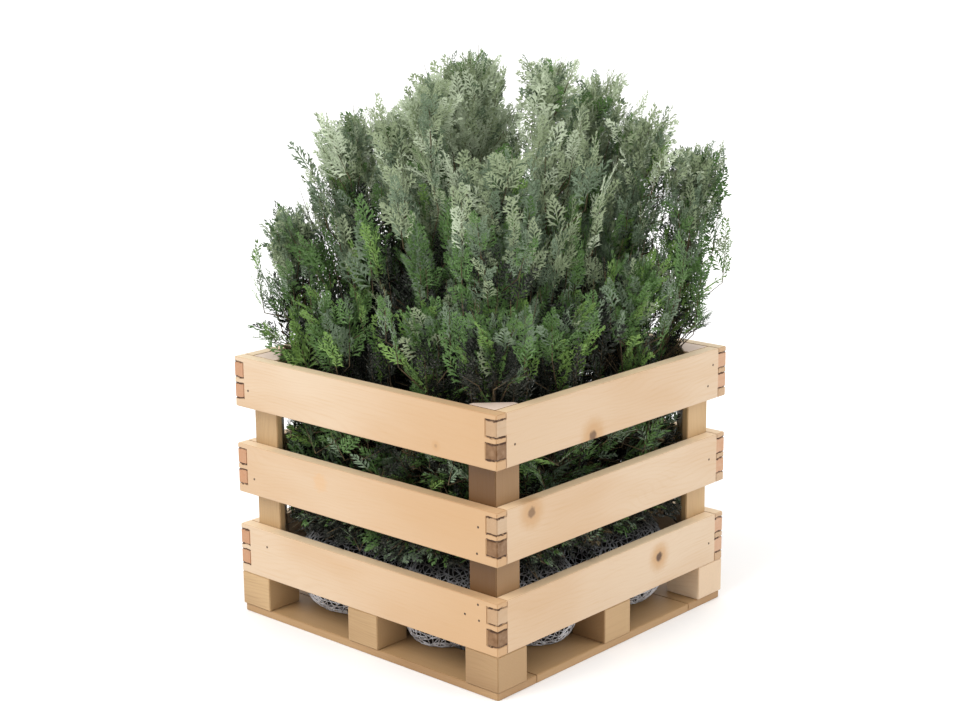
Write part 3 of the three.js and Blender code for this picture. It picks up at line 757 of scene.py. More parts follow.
SEED = 4071
SEED_STEP = 101
GOLDEN_ANGLE = math.pi * (3 - math.sqrt(5))
AXIS_SAMPLES = 10
KNEE_WALL_REACH = 262 * MM
KNEE_CORNER_REACH = 450 * MM
CURVE_STEPS = 200
TWIG_TRIES = 4
TRY_TURN = 1.6
TURN_JITTER = 0.7
TILT_JITTER = 0.15
TOP_TWIG_SHARE = 0.6
TOP_LEAF_SHARE = 0.8
SHOOTS = [(1, 0, 1), (0.5, 1.2, 0.9), (0.35, -1.2, 0.85)]
HEIGHT_WEIGHT = 0.6
SPACE_MARGIN = 3 * MM
LIMB_MARGIN = 4 * MM
WALL_MARGIN = 5 * MM
BALL_MARGIN = 1.05
FOLIAGE_FLOOR = 186 * MM
FOLIAGE = {
    "column": {"reach": 46, "leaf": 160, "lean": (0.75, 0.45), "bow": ((0.4, 0.35), (0.9, 0.7))},
    "skirt": {"reach": 46, "leaf": 155, "lean": (1.75, 0.6), "bow": ((0.7, 0.02), (1, 0.2))},
    "inner": {"reach": 50, "leaf": 145, "lean": (0.9, 0.5), "bow": ((0.6, 0.1), (1, 0.4))},
}

# Root ball lobes, each (x, y, radius, top), as in the solids
ROOT_LOBES = [
    (0, 0, 165, 214),
    (-165, -165, 117, 196),
    (165, 165, 117, 196),
    (84, -200, 74, 182),
    (200, -84, 80, 182),
    (-200, 84, 80, 182),
    (-84, 200, 74, 182),
]
LOBE_BOTTOM = 15.3
LOBE_FOOT_SHARE = 0.6
LOBE_WIDEST_SHARE = 0.45


def seeded(seed):
    """Draws between 0 and 1, the same ones as the solids' rule draws."""
    word = 0xFFFFFFFF
    state = seed & word

    def draw():
        nonlocal state
        state = (state + 0x6D2B79F5) & word
        mixed = ((state ^ (state >> 15)) * (1 | state)) & word
        other = ((mixed ^ (mixed >> 7)) * (61 | mixed)) & word
        mixed = ((mixed + other) & word) ^ mixed
        return (mixed ^ (mixed >> 14)) / 4294967296

    return draw


def start_from_side(limb, height, tip):
    points, radii = LIMBS[limb]
    upper = int(np.argmax(points[:, 2] > height))
    share = (height - points[upper - 1][2]) / (points[upper][2] - points[upper - 1][2])
    middle = lerp(points[upper - 1], points[upper], share)
    grain = unit(points[upper] - points[upper - 1])
    along = (tip - middle) * [1, 1, 0]
    along = unit(along - grain * (along @ grain))
    return middle + along * (lerp(radii[upper - 1], radii[upper], share) + FIT_GAP)


def plan_axis(kind, start, tip):
    knees = []
    for out, up in FOLIAGE[kind]["bow"]:
        knee = lerp(start, tip, out)
        wide = max(abs(knee[0]), abs(knee[1])) / KNEE_WALL_REACH
        deep = (abs(knee[0]) + abs(knee[1])) / KNEE_CORNER_REACH
        knee = knee / max(1, wide, deep)
        knee[2] = lerp(start[2], tip[2], up)
        knees.append(knee)
    fine = bezier([start, *knees, tip], np.linspace(0, 1, CURVE_STEPS + 1))
    run = np.concatenate([[0], np.cumsum(np.linalg.norm(np.diff(fine, axis=0), axis=1))])
    even = np.linspace(0, run[-1], AXIS_SAMPLES)
    return np.stack([np.interp(even, run, fine[:, i]) for i in range(3)], axis=1)


def plan_masses():
    masses = []

    def add(name, kind, start, tip):
        masses.append({"name": name, "kind": kind, "axis": plan_axis(kind, start, metres(tip))})

    def limb_tip(limb):
        points = LIMBS[limb][0]
        return points[-1] + unit(points[-1] - points[-2]) * FIT_GAP

    add("crown_top", "column", limb_tip("trunk"), TRUNK["tip"])
    for name, stem in STEMS.items():
        add("column_" + name, "column", limb_tip("stem_" + name), stem["tip"])
    for name, (stem, height, tip) in SKIRTS.items():
        start = start_from_side("stem_" + stem, height * MM, metres(tip))
        add("skirt_" + name, "skirt", start, tip)
    for name, (height, tip) in INNER.items():
        add(name, "inner", start_from_side("trunk", height * MM, metres(tip)), tip)
    return masses


MASSES = plan_masses()
SITES = np.stack([mass["axis"] for mass in MASSES])


def gaps_to_axes(points):
    """Each point's weighted distance to each mass's axis, by point and mass."""
    away = points[:, None, None, :] - SITES[None]
    away[..., 2] *= HEIGHT_WEIGHT
    return np.sqrt((away**2).sum(axis=-1)).min(axis=2)


def inside_crate_space(points, stand_out):
    """Whether each point is clear of walls, posts and root ball.

    stand_out lets it lean over the rim, into the gaps between the boards and down beside the root ball.
    """
    x, y, z = np.abs(points[:, 0]), np.abs(points[:, 1]), points[:, 2]
    widest = np.maximum(x, y)
    above = (z > RIM + WALL_MARGIN) & (HALF - widest > WALL_MARGIN - stand_out)
    reach = np.full(len(points), INSIDE)
    floor = FOLIAGE_FLOOR
    if stand_out:
        floor -= FROND_DROOP
        for low, high in SLAT_GAPS:
            reach[(z > low + WALL_MARGIN) & (z < high - WALL_MARGIN)] = HALF
    walls = np.minimum(reach - widest, (POST_CORNER - x - y) / math.sqrt(2))
    within = (np.minimum(walls, z - floor) > WALL_MARGIN) & (z <= RIM + WALL_MARGIN)
    free = above | within
    low = z < ROOT_CROWN_TOP + WALL_MARGIN
    free &= ~(low & (np.hypot(points[:, 0], points[:, 1]) < ROOT_CROWN_FOOT))
    for lobe_x, lobe_y, radius, top in ROOT_LOBES:
        widest_height = lerp(LOBE_BOTTOM, top, LOBE_WIDEST_SHARE) * MM
        out = np.hypot(points[:, 0] - lobe_x * MM, points[:, 1] - lobe_y * MM) / (radius * MM)
        up = np.maximum(0, (z - widest_height) / (top * MM - widest_height))
        free &= ~(low & (np.hypot(out, up) < BALL_MARGIN))
    return free


def clear_of_limbs(points):
    clear = np.ones(len(points), bool)
    for places, radii in LIMBS.values():
        start, end = places[:-1], places[1:]
        span = end - start
        share = ((points[:, None] - start) * span).sum(-1) / (span**2).sum(-1)
        nearest = start + np.clip(share, 0, 1)[..., None] * span
        gap = np.linalg.norm(points[:, None] - nearest, axis=-1) - radii[:-1]
        clear &= gap.min(axis=1) > LIMB_MARGIN
    return clear


def in_own_space(index, points, overlap=0.0, stand_out=0.0):
    """Whether each point is nearer this mass's axis than any other's, give or take the overlap."""
    gaps = gaps_to_axes(points)
    own = gaps[:, index].copy()
    gaps[:, index] = np.inf
    near = gaps.min(axis=1) > own + SPACE_MARGIN - overlap
    top = MASSES[index]["axis"][-1][2]
    below = points[:, 2] <= (min(top + FROND_RISE, HIGHEST_FROND) if stand_out else top)
    return near & below & inside_crate_space(points, stand_out)


def axis_at(axis, share):
    place = share * (len(axis) - 1)
    low = min(int(place), len(axis) - 2)
    return lerp(axis[low], axis[low + 1], place - low)


# Finer growth: the rule goes on to more twigs, whose leaves are flat sprays that turn up to the light

TWIG_COUNTS = {"column": 17, "skirt": 17, "inner": 10}
TWIG_LENGTHS = (0.5, 1.9)
SPRAY_SIZES = (0.62, 1.0)
SPRAY_FITS = ((1.0, 1.0), (0.5, 0.85), (0.15, 0.7))
SPRAY_LEAN_SHARE = 0.5
SPRAY_RISE = (0, 0, 0.3)
SPRAY_WIDTHS = (0.1, 0.8)
SPRAY_MIDDLE = 0.6
TWIG_CHECKS = 8
HIDDEN_SKIPPED = 0.5
FROND_OVERLAP = 26 * MM
FROND_STAND_OUT = 13 * MM
FROND_RISE = 12 * MM
HIGHEST_FROND = 1054 * MM
FROND_DROOP = 62 * MM
FROND_SCALES = (1.0, 0.75, 0.55)
FROND_CHECKS = ((0.4, -0.2), (0.4, 0.2), (0.75, 0.0), (1.0, 0.0))
FEWEST_FRONDS = 4
FEWEST_SHOOT_FRONDS = 7
HIDDEN_REACH = 0.15
HIDDEN_HEIGHT = 0.68

# A spray's fronds: where they start on the midrib, how they open and roll, and how long they are
SPRAY_FRONDS = 8
FIRST_FROND_UP = 0.05
LAST_FROND_UP = 0.6
FROND_STAGGER = 0.9
FROND_ANGLES = (0.3, 0.74)
FROND_REACHES = (0.42, 0.62)
END_FROND_TURN = 0.4
FROND_LIFT = 0.7
FROND_ROLL = 1.9
FROND_SAG = 0.22
FROND_ARCH = 0.12
FROND_CURL = 0.08

# The crest that closes each leader
CREST_SPRAYS = 12
CREST_SIZES = (0.6, 0.88)
CREST_WIDTHS = (0.6, 1.0)
CREST_DROP = 24 * MM
CREST_LEAN = 0.5
CREST_FOOT = 3

# More twigs reach for places scattered evenly through the crate and the crown
FILL_STEP = 58 * MM
FILL_EDGE = 312 * MM
FILL_HEIGHTS = (203 * MM, 1010 * MM)
FILL_RISE = 50 * MM
FILL_TRIES = 10
FILL_OVERLAP = 120 * MM
FILL_MASSES = 4
FILL_ROOM = 62 * MM
CROWN_REACH = 88 * MM
CROWN_FLAT = 34 * MM
CROWN_FALL = 2.6

# How those sprays lean, how wide they open and how long they are, in the crate and up the crown
FILL_SHAPES = [
    (0.76, (0.05, 0.55), (0.2, 0.8), (85 * MM, 150 * MM)),
    (0.42, (0.0, 0.3), (-0.2, 0.35), (105 * MM, 170 * MM)),
    (0.0, (0.2, 1.3), (0.4, 1.0), (85 * MM, 140 * MM)),
]
HANGING = ((1.3, 2.2), (0.5, 1.0), (75 * MM, 120 * MM))
STANDING = ((0.0, 0.6), (0.3, 0.9), (75 * MM, 120 * MM))
UPRIGHT = ((0.0, 0.25), (-0.2, 0.3), (125 * MM, 190 * MM))
OVERHANGING = ((0.7, 1.15), (0.3, 0.9), (60 * MM, 95 * MM))

# The hem along each wall: rows that hang between the root ball and the boards, and some that stand
NEAR_WALL = (32 * MM, 75 * MM)
FURTHER_IN = (85 * MM, 150 * MM)
HEM_ROWS = [
    (0.212, HANGING, NEAR_WALL),
    (0.222, HANGING, NEAR_WALL),
    (0.232, HANGING, NEAR_WALL),
    (0.243, HANGING, NEAR_WALL),
    (0.255, HANGING, NEAR_WALL),
    (0.285, HANGING, NEAR_WALL),
    (0.340, STANDING, NEAR_WALL),
    (0.245, STANDING, FURTHER_IN),
    (0.320, STANDING, FURTHER_IN),
]
HEM_EDGE = 0.235
HEM_STEP = 30 * MM
HEM_RISE = 0.02

# Places at each corner that the scatter leaves thin: across, out and up, in metres, and how their sprays grow
CORNER_PLACES = [
    (0.275, 0.275, 0.525, OVERHANGING),
    (0.285, 0.250, 0.530, OVERHANGING),
    (0.250, 0.285, 0.530, OVERHANGING),
    (0.270, 0.240, 0.580, STANDING),
    (0.240, 0.270, 0.620, STANDING),
    (0.235, 0.170, 0.640, STANDING),
    (0.170, 0.235, 0.680, STANDING),
    (0.265, 0.200, 0.700, STANDING),
    (0.200, 0.265, 0.640, STANDING),
    (0.225, 0.205, 0.590, STANDING),
    (0.205, 0.225, 0.730, STANDING),
    (0.150, 0.215, 0.620, STANDING),
    (0.215, 0.150, 0.720, STANDING),
    (0.205, 0.185, 0.660, STANDING),
    (0.190, 0.215, 0.680, STANDING),
    (0.220, 0.225, 0.650, STANDING),
    (0.170, 0.170, 0.660, STANDING),
    (0.185, 0.200, 0.600, STANDING),
    (0.150, 0.170, 0.700, STANDING),
    (0.200, 0.120, 0.620, UPRIGHT),
    (0.120, 0.200, 0.620, UPRIGHT),
    (0.160, 0.160, 0.600, UPRIGHT),
    (0.220, 0.060, 0.630, UPRIGHT),
    (0.060, 0.220, 0.630, UPRIGHT),
    (0.180, 0.090, 0.660, UPRIGHT),
    (0.090, 0.180, 0.660, UPRIGHT),
    (0.240, 0.100, 0.570, UPRIGHT),
    (0.100, 0.240, 0.570, UPRIGHT),
]

# Places on the high shoulder at the back right, in the part's own directions
SHOULDER_PLACES = [
    (0.250, 0.220, 0.760),
    (0.280, 0.260, 0.740),
    (0.220, 0.260, 0.780),
    (0.270, 0.230, 0.700),
    (0.240, 0.280, 0.680),
    (0.290, 0.270, 0.790),
    (0.260, 0.290, 0.760),
    (0.230, 0.230, 0.820),
    (0.250, 0.190, 0.690),
    (0.190, 0.250, 0.740),
]

# Slim bright shoots that arch out past the rest and nod
SHOOT_COUNTS = {"column": 2, "skirt": 6, "inner": 2}
SHOOT_ROOTS = (0.35, 0.85)
SHOOT_LEANS = (0.05, 0.45)
SHOOT_SIZES = (135 * MM, 205 * MM)
SHOOT_WIDTH = -0.6
SHOOT_ARCH = 0.25

# Dark gaps between the plumes just over the rim: their spacing, slant and half width, and where they end
GAP_STEP = 118 * MM
GAP_SLANT = 0.3
GAP_HALF = 30 * MM
GAP_END_HALF = 4 * MM
GAP_BOTTOM = RIM - 40 * MM
GAP_TOP = 0.70
GAP_NEAREST = 0.16

Spray = namedtuple("Spray", "root direction side face bend length width")


def make_spray(root, heading, lean, twist, bend, length, width):
    direction = leaning(heading, lean)
    turn = heading + QUARTER + twist
    side = np.array([math.cos(turn), math.sin(turn), 0])
    side = unit(side - direction * (side @ direction))
    return Spray(root, direction, side, np.cross(side, direction), np.array(bend), length, width)


def midrib_at(spray, up):
    up = np.reshape(up, (-1, 1))
    return spray.root + spray.length * (up * spray.direction + up**2 * spray.bend)


def spray_middle(spray):
    return midrib_at(spray, SPRAY_MIDDLE)[0]


def spray_fronds(spray, draw):
    """The spray's fronds on alternate sides of its midrib, and one at its end, as arrays."""
    j = np.arange(SPRAY_FRONDS)
    luck = np.array([[draw() for _ in range(6)] for _ in j])
    last = j == SPRAY_FRONDS - 1
    step = (LAST_FROND_UP - FIRST_FROND_UP) / (SPRAY_FRONDS - 1)
    staggered = (j + FROND_STAGGER * (luck[:, 5] - 0.5)).clip(0)
    up = np.where(last, LAST_FROND_UP, FIRST_FROND_UP + step * staggered)
    sign = np.where(j % 2, 1, -1)
    open_angle = lerp(*FROND_ANGLES, spray.width) * (1 - 0.5 * up) * (0.65 + 0.7 * luck[:, 0])
    angle = np.where(last, (luck[:, 0] - 0.5) * END_FROND_TURN, sign * open_angle)[:, None]
    reach = np.where(last, FROND_REACHES[0], lerp(*FROND_REACHES, spray.width) * (1 - 0.35 * up))
    reach = spray.length * reach * (0.72 + 0.5 * luck[:, 1])
    along = unit(spray.direction + 2 * up[:, None] * spray.bend)
    lift = (luck[:, 2:3] - 0.5) * FROND_LIFT
    heading = unit(along * np.cos(angle) + spray.side * np.sin(angle) + spray.face * lift)
    across = unit(np.cross(heading, spray.face))
    normal = np.cross(across, heading)
    roll = (luck[:, 3:4] - 0.5) * FROND_ROLL
    across, normal = (
        across * np.cos(roll) + normal * np.sin(roll),
        normal * np.cos(roll) - across * np.sin(roll),
    )
    droop = [0, 0, -FROND_SAG] * luck[:, 4:5] ** 2
    bend = heading * [FROND_ARCH, FROND_ARCH, 0] + droop - spray.side * sign[:, None] * FROND_CURL
    return midrib_at(spray, up), heading, across, normal, bend, reach


def fitted_fronds(index, spray, draw, overlap):
    """The fronds that keep to the mass's space, shortened where that is what it takes."""
    roots, headings, across, normals, bends, reaches = spray_fronds(spray, draw)
    scales = np.zeros(len(reaches))
    for scale in FROND_SCALES:
        fits = np.ones(len(reaches), bool)
        for up, out in FROND_CHECKS:
            place = up * headings + out * across + up**2 * bends
            points = roots + place * (reaches * scale)[:, None]
            fits &= in_own_space(index, points, overlap, FROND_STAND_OUT)
        scales = np.where((scales == 0) & fits, scale, scales)
    kept = scales > 0
    if kept.sum() < (FEWEST_SHOOT_FRONDS if spray.width <= SHOOT_WIDTH else FEWEST_FRONDS):
        return None
    return [part[kept] for part in (roots, headings, across, normals, bends, reaches * scales)]


def widest_reach(place):
    return max(abs(place[0]), abs(place[1]))


def mostly_hidden(place):
    return widest_reach(place) < HIDDEN_REACH and place[2] < HIDDEN_HEIGHT


def in_dark_gap(place):
    """Whether a place is in one of the gaps that open between the plumes towards the rim."""
    x, y, z = place
    if not GAP_BOTTOM < z < GAP_TOP or widest_reach(place) < GAP_NEAREST:
        return False
    sideways = x if abs(y) > abs(x) else y
    across = (sideways + GAP_SLANT * z + 1.0) % GAP_STEP - GAP_STEP / 2
    return abs(across) < lerp(GAP_HALF, GAP_END_HALF, (z - RIM) / (GAP_TOP - RIM))


class Growth:
    """One mass as it grows: its twigs, each (start, end), and its sprays with their fronds."""

    def __init__(self, index):
        self.index = index
        mass = MASSES[index]
        self.kind = FOLIAGE[mass["kind"]]
        self.count = TWIG_COUNTS[mass["kind"]]
        self.axis = mass["axis"]
        self.leaf = self.kind["leaf"] * MM
        self.stem_share = 1 - self.leaf / (np.linalg.norm(self.axis[1] - self.axis[0]) * (AXIS_SAMPLES - 1))
        self.draw = seeded(SEED + index * SEED_STEP)
        self.twigs = []
        self.sprays = []

    def add_spray(self, spray, overlap=FROND_OVERLAP):
        if spray.width > SHOOT_WIDTH and in_dark_gap(spray_middle(spray)):
            return False
        fronds = fitted_fronds(self.index, spray, self.draw, overlap)
        if fronds is not None:
            self.sprays.append((spray, fronds))
        return fronds is not None

    def add_twig(self, start, heading, tilt, length, size):
        """A twig with its sprays, where both find room; a spray near a wall stands up along it."""
        draw = self.draw
        end = start + leaning(heading, tilt) * length
        along = lerp(start, end, np.linspace(0.15, 1, TWIG_CHECKS)[:, None])
        if not (in_own_space(self.index, along).all() and clear_of_limbs(along).all()):
            return False
        kept = False
        for from_share, swing, scale in SHOOTS:
            root = lerp(start, end, from_share)
            twist = (draw() - 0.5) * TURN_JITTER
            width = lerp(*SPRAY_WIDTHS, draw())
            for upright, smaller in SPRAY_FITS:
                lean = tilt * SPRAY_LEAN_SHARE * upright
                length = size * scale * smaller
                spray = make_spray(root, heading + swing, lean, twist, SPRAY_RISE, length, width)
                if self.add_spray(spray):
                    kept = True
                    break
        if kept:
            self.twigs.append((start, end))
        return kept

    def grow(self):
        draw = self.draw
        for k in range(self.count):
            share = (k + 0.5) / self.count
            start = axis_at(self.axis, self.stem_share * share)
            if mostly_hidden(start) and draw() < HIDDEN_SKIPPED:
                continue
            for attempt in range(TWIG_TRIES):
                heading = k * GOLDEN_ANGLE + attempt * TRY_TURN + draw() * TURN_JITTER
                tilt = lerp(*self.kind["lean"], math.sqrt(share)) * (1 + TILT_JITTER * (2 * draw() - 1))
                length = self.kind["reach"] * MM * lerp(1, TOP_TWIG_SHARE, share)
                length *= lerp(*TWIG_LENGTHS, draw())
                size = self.leaf * lerp(*SPRAY_SIZES, draw()) * lerp(1, TOP_LEAF_SHARE, share)
                if self.add_twig(start, heading, tilt, length, size):
                    break

    def grow_crest(self):
        """Broad sprays that all end near the tip's height, as on a leader's flat top."""
        draw = self.draw
        tip = self.axis[-1]
        heights = self.axis[:, 2]
        shares = np.linspace(0, 1, len(heights))
        for k in range(CREST_SPRAYS):
            lean = CREST_LEAN * draw() if k else 0.0
            length = self.leaf * lerp(*CREST_SIZES, draw())
            top = tip[2] + FROND_RISE / 2 - CREST_DROP * draw() * (k > 0)
            root_height = top - length * math.cos(lean)
            upper_share = np.interp(root_height, heights[CREST_FOOT:], shares[CREST_FOOT:])
            root = axis_at(self.axis, float(upper_share))
            heading = k * GOLDEN_ANGLE + draw() * TURN_JITTER
            width = lerp(*CREST_WIDTHS, draw())
            self.add_spray(make_spray(root, heading, lean, draw() - 0.5, (0, 0, 0), length, width))

    def reach_for(self, place, shape):
        """A twig out to a place, with an upright spray turned whichever way it finds room."""
        draw = self.draw
        away = (self.axis - place) * [1, 1, HEIGHT_WEIGHT]
        near = int(np.argmin(np.linalg.norm(away, axis=1)[:-1]))
        start = self.axis[max(near - 1, 0)]
        along = lerp(start, place, np.linspace(0.25, 1, TWIG_CHECKS)[:, None])
        if not (inside_crate_space(along, FROND_STAND_OUT).all() and clear_of_limbs(along).all()):
            return False
        outward = math.atan2(place[1], place[0])
        leans, widths, sizes = shape
        for attempt in range(FILL_TRIES):
            heading = outward + (draw() - 0.5) * (1 + 0.7 * attempt)
            lean = lerp(*leans, draw())
            length = lerp(*sizes, draw()) * (1 - 0.04 * attempt)
            bend = (0, 0, 0.2 * draw())
            spray = make_spray(place, heading, lean, draw() - 0.5, bend, length, lerp(*widths, draw()))
            if self.add_spray(spray, FILL_OVERLAP):
                self.twigs.append((start, place))
                return True
        return False

    def grow_shoots(self, count):
        """Slim shoots that arch outwards and nod at their tips."""
        draw = self.draw
        for _ in range(count):
            root = axis_at(self.axis, lerp(*SHOOT_ROOTS, draw()))
            outward = math.atan2(root[1], root[0])
            for attempt in range(FILL_TRIES):
                heading = outward + (draw() - 0.5) * (2.4 + 0.4 * attempt)
                lean = lerp(*SHOOT_LEANS, draw())
                length = lerp(*SHOOT_SIZES, draw()) * (1 - 0.06 * attempt)
                bend = SHOOT_ARCH * leaning(heading, QUARTER) - [0, 0, SHOOT_ARCH * draw()]
                shoot = make_spray(root, heading, lean, 0, bend, length, SHOOT_WIDTH)
                if self.add_spray(shoot, FILL_OVERLAP):
                    break


def crown_height(place):
    """How high the crown is over a place: each mass's tip, falling away to its sides."""
    away = np.hypot(SITES[:, -1, 0] - place[0], SITES[:, -1, 1] - place[1])
    return float((SITES[:, -1, 2] - CROWN_FALL * np.maximum(0, away - CROWN_FLAT)).max())


def is_open(place, gap):
    """Whether a scattered place is one that a twig may reach for."""
    if not inside_crate_space(place[None], FROND_STAND_OUT)[0]:
        return False
    return place[2] < RIM or (gap < CROWN_REACH and place[2] < crown_height(place) - FILL_ROOM)


def fill_out(growths):
    """Scatters places evenly through the plant's room and lets the nearest mass reach each."""
    draw = seeded(SEED - 1)
    columns = np.arange(-FILL_EDGE + FILL_STEP / 2, FILL_EDGE, FILL_STEP)
    for z in np.arange(*FILL_HEIGHTS, FILL_RISE):
        shape = next(shape[1:] for shape in FILL_SHAPES if z > shape[0])
        for x in columns:
            for y in columns:
                jitter = np.array([draw() - 0.5, draw() - 0.5, draw() - 0.5])
                place = np.array([x, y, z]) + jitter * [FILL_STEP, FILL_STEP, FILL_RISE]
                gaps = gaps_to_axes(place[None])[0]
                if is_open(place, gaps.min()):
                    growths[int(np.argmin(gaps))].reach_for(place, shape)


def reach_from_nearest(growths, place, shape):
    """Lets the nearest of the masses that finds a way reach for the place."""
    gaps = gaps_to_axes(place[None])[0]
    for index in np.argsort(gaps)[:FILL_MASSES]:
        if growths[int(index)].reach_for(place, shape):
            return


def fill_edges(growths):
    """Sprays along each wall, over the shoulders of the root ball, and more towards each corner."""
    draw = seeded(SEED - 2)
    for spin in SPINS:
        for height, shape, depths in HEM_ROWS:
            for along in np.arange(-HEM_EDGE, HEM_EDGE, HEM_STEP):
                out = -INSIDE + lerp(*depths, draw())
                local = np.array([along + HEM_STEP * draw(), out, height + HEM_RISE * draw()])
                reach_from_nearest(growths, spin @ local, shape)
        for across, out, up, shape in CORNER_PLACES:
            reach_from_nearest(growths, spin @ np.array([across, -out, up]), shape)
    for place in SHOULDER_PLACES:
        reach_from_nearest(growths, np.array(place), STANDING)


# A frond is a midrib with pairs of small pointed branchlets, which fork again on the sprays that show

FROND_KINDS = 8
FINE_SEED = 900
COARSE_SEED = 940
KITE_WIDEST = 0.45
KITE_FOLD = 0.22
RIB_END = 0.96
RIB_WIDTH = 0.014
TIP_START = 0.84
FORK_WIDTH = 0.8
FINE = {"pairs": 6, "reach": 0.4, "width": 0.062, "forks": ((0.4, 0.52, 0.6), (0.66, 0.4, 0.55))}
COARSE = {"pairs": 5, "reach": 0.4, "width": 0.085, "forks": ()}


def kite(root, tip, width):
    """A pointed blade of two faces, folded along the line from its root to its tip."""
    along = tip - root
    across = unit(np.array([-along[1], along[0], 0.0]))
    middle = root + along * KITE_WIDEST - [0, 0, width * KITE_FOLD]
    return [root, middle + across * width / 2, tip, middle - across * width / 2]


def turned_in_plane(vector, angle):
    x, y, z = vector
    return np.array([x * math.cos(angle) - y * math.sin(angle), x * math.sin(angle) + y * math.cos(angle), z])


def frond_template(seed, pairs, reach, width, forks):
    """A frond one unit long up Y, flat in XY: its points and its three-cornered faces."""
    draw = seeded(seed)
    points, faces = [], []

    def add_kite(root, tip, wide):
        base = len(points)
        points.extend(kite(root, tip, wide))
        faces.append((base, base + 2, base + 1))
        faces.append((base, base + 3, base + 2))

    def on_rib(up):
        return np.array([0, up, 0.0])

    add_kite(on_rib(0), on_rib(RIB_END), RIB_WIDTH)
    for pair in range(pairs):
        for side in (-1, 1):
            up = 0.06 + 0.84 * (pair + (0.35 if side > 0 else 0) + 0.3 * draw()) / pairs
            length = reach * min(1, up * 3 + 0.5) * (1 - up) ** 0.5 * (0.75 + 0.5 * draw())
            angle = lerp(0.8, 0.45, up) * (0.8 + 0.4 * draw())
            rise = (draw() - 0.5) * 0.6
            heading = unit(np.array([side * math.sin(angle), math.cos(angle), rise]))
            root = on_rib(up)
            add_kite(root, root + heading * length, width * (0.85 + 0.3 * draw()))
            for fork, (place, share, turn) in enumerate(forks):
                swing = side * turn * (1 if fork % 2 else -1) * (0.8 + 0.4 * draw())
                start = root + heading * length * place
                end = start + turned_in_plane(heading, swing) * length * share
                add_kite(start, end, width * FORK_WIDTH)
    add_kite(on_rib(TIP_START), on_rib(1), width)
    return np.array(points), np.array(faces)


FRONDS = {
    "fine": [frond_template(FINE_SEED + i, **FINE) for i in range(FROND_KINDS)],
    "coarse": [frond_template(COARSE_SEED + i, **COARSE) for i in range(FROND_KINDS)],
}

# Leaf tones: display colours dealt out by spray; deep is a near-black painted shade for sprays within the
# crown
TONES = {
    "sage_pale": (190, 202, 174),
    "sage": (148, 162, 127),
    "sage_blue": (108, 127, 101),
    "fresh": (116, 150, 74),
    "green": (86, 120, 62),
    # Painted shade, for sprays deep in the crown and low by the rim
    "deep": (14, 22, 11),
    "dry": (96, 84, 56),
}
TONE_SEED = 77
MOST_TRIANGLES = 195000

# Some of a spray's fronds take the tone beside its own
MIXED_SHARE = 0.35
BESIDE = {
    "sage_pale": "sage",
    "sage": "sage_blue",
    "sage_blue": "green",
    "fresh": "green",
    "green": "sage_blue",
    "deep": "deep",
    "dry": "green",
}

# Shares of the tones in each layer of the crown, from a height in metres up
# The deep share is painted shade, largest near the rim
TONE_LAYERS = [
    (0.88, {"sage_pale": 0.76, "sage": 0.2, "green": 0.04}),
    (0.80, {"sage_pale": 0.16, "sage": 0.54, "sage_blue": 0.14, "green": 0.16}),
    (0.70, {"sage": 0.38, "sage_blue": 0.2, "green": 0.26, "fresh": 0.06, "deep": 0.1}),
    (0.60, {"sage": 0.09, "sage_blue": 0.15, "green": 0.28, "fresh": 0.13, "deep": 0.35}),
    (0.53, {"sage_blue": 0.02, "green": 0.13, "fresh": 0.15, "deep": 0.7}),
    (0.44, {"sage_blue": 0.01, "green": 0.08, "fresh": 0.04, "deep": 0.87}),
    (0.28, {"sage_blue": 0.14, "green": 0.4, "fresh": 0.08, "deep": 0.34, "dry": 0.04}),
    (0.0, {"green": 0.2, "sage_blue": 0.1, "deep": 0.6, "dry": 0.1}),
]

# The crown's core, painted deep for shade, the height where shoots turn sage, and where no outer spray is
# deep
CORE_REACH = 0.2
CORE_TOP = 0.66
CORE_PAINTED_SHADE_SHARE = 0.85
SAGE_SHOOT_HEIGHT = 0.85
LIT_REACH = 0.27
LIT_HEIGHT = 0.58

# The outside of the crown, where fronds are fine
SHOWN_BOTTOM = RIM - 30 * MM
SHOWN_TOP = 0.82
SHOWN_REACH = 0.2
SHOWN_HEIGHT = 0.6
SHOWN_OUTWARD = 0.15


def leaf_group():
    """The slight mottle of scale leaves round a plain colour."""
    tree, given, put = new_group("scale_leaves", [("Leaf", COLOUR)], [("Color", COLOUR), ("Height", FLOAT)])
    mottle = cloud(tree, object_place(tree), 260.0, 2.0)
    paler = blend_colour(tree, 0.35, given["Leaf"], (1, 1, 0.9, 1))
    share = maths(tree, "MULTIPLY", between(tree, mottle, 0.45, 0.75), 0.3)
    tree.links.new(blend_colour(tree, share, given["Leaf"], paler), put["Color"])
    tree.links.new(mottle, put["Height"])
    return tree


SCALE_LEAVES = leaf_group()


def leaf_material(tone):
    material, tree, shader = new_material("leaf_" + tone, 0.62)
    leaf = use_group(tree, SCALE_LEAVES, {"Leaf": plain(*TONES[tone])})
    tree.links.new(leaf["Color"], shader.inputs["Base Color"])
    shader.inputs["Specular IOR Level"].default_value = 0.3
    add_bump(tree, shader, leaf["Height"], 0.3, 0.4 * MM)
    return material


def bark_group():
    tree, given, put = new_group(
        "bark",
        [("Pale", COLOUR), ("Dark", COLOUR)],
        [("Color", COLOUR), ("Height", FLOAT)],
    )
    place = object_place(tree)
    ridges = cloud(tree, stretched(tree, place, (240, 240, 26)), 1.0, 4.0, 0.6)
    flakes = cloud(tree, place, 60.0, 3.0)
    colour = blend_colour(tree, between(tree, ridges, 0.35, 0.65), given["Dark"], given["Pale"])
    tree.links.new(colour, put["Color"])
    tree.links.new(maths(tree, "ADD", ridges, flakes), put["Height"])
    return tree


BARK = bark_group()


def bark_material(name, pale, dark, strength):
    material, tree, shader = new_material(name, 0.85)
    bark = use_group(tree, BARK, {"Pale": pale, "Dark": dark})
    tree.links.new(bark["Color"], shader.inputs["Base Color"])
    add_bump(tree, shader, bark["Height"], strength, 0.8 * MM)
    return material


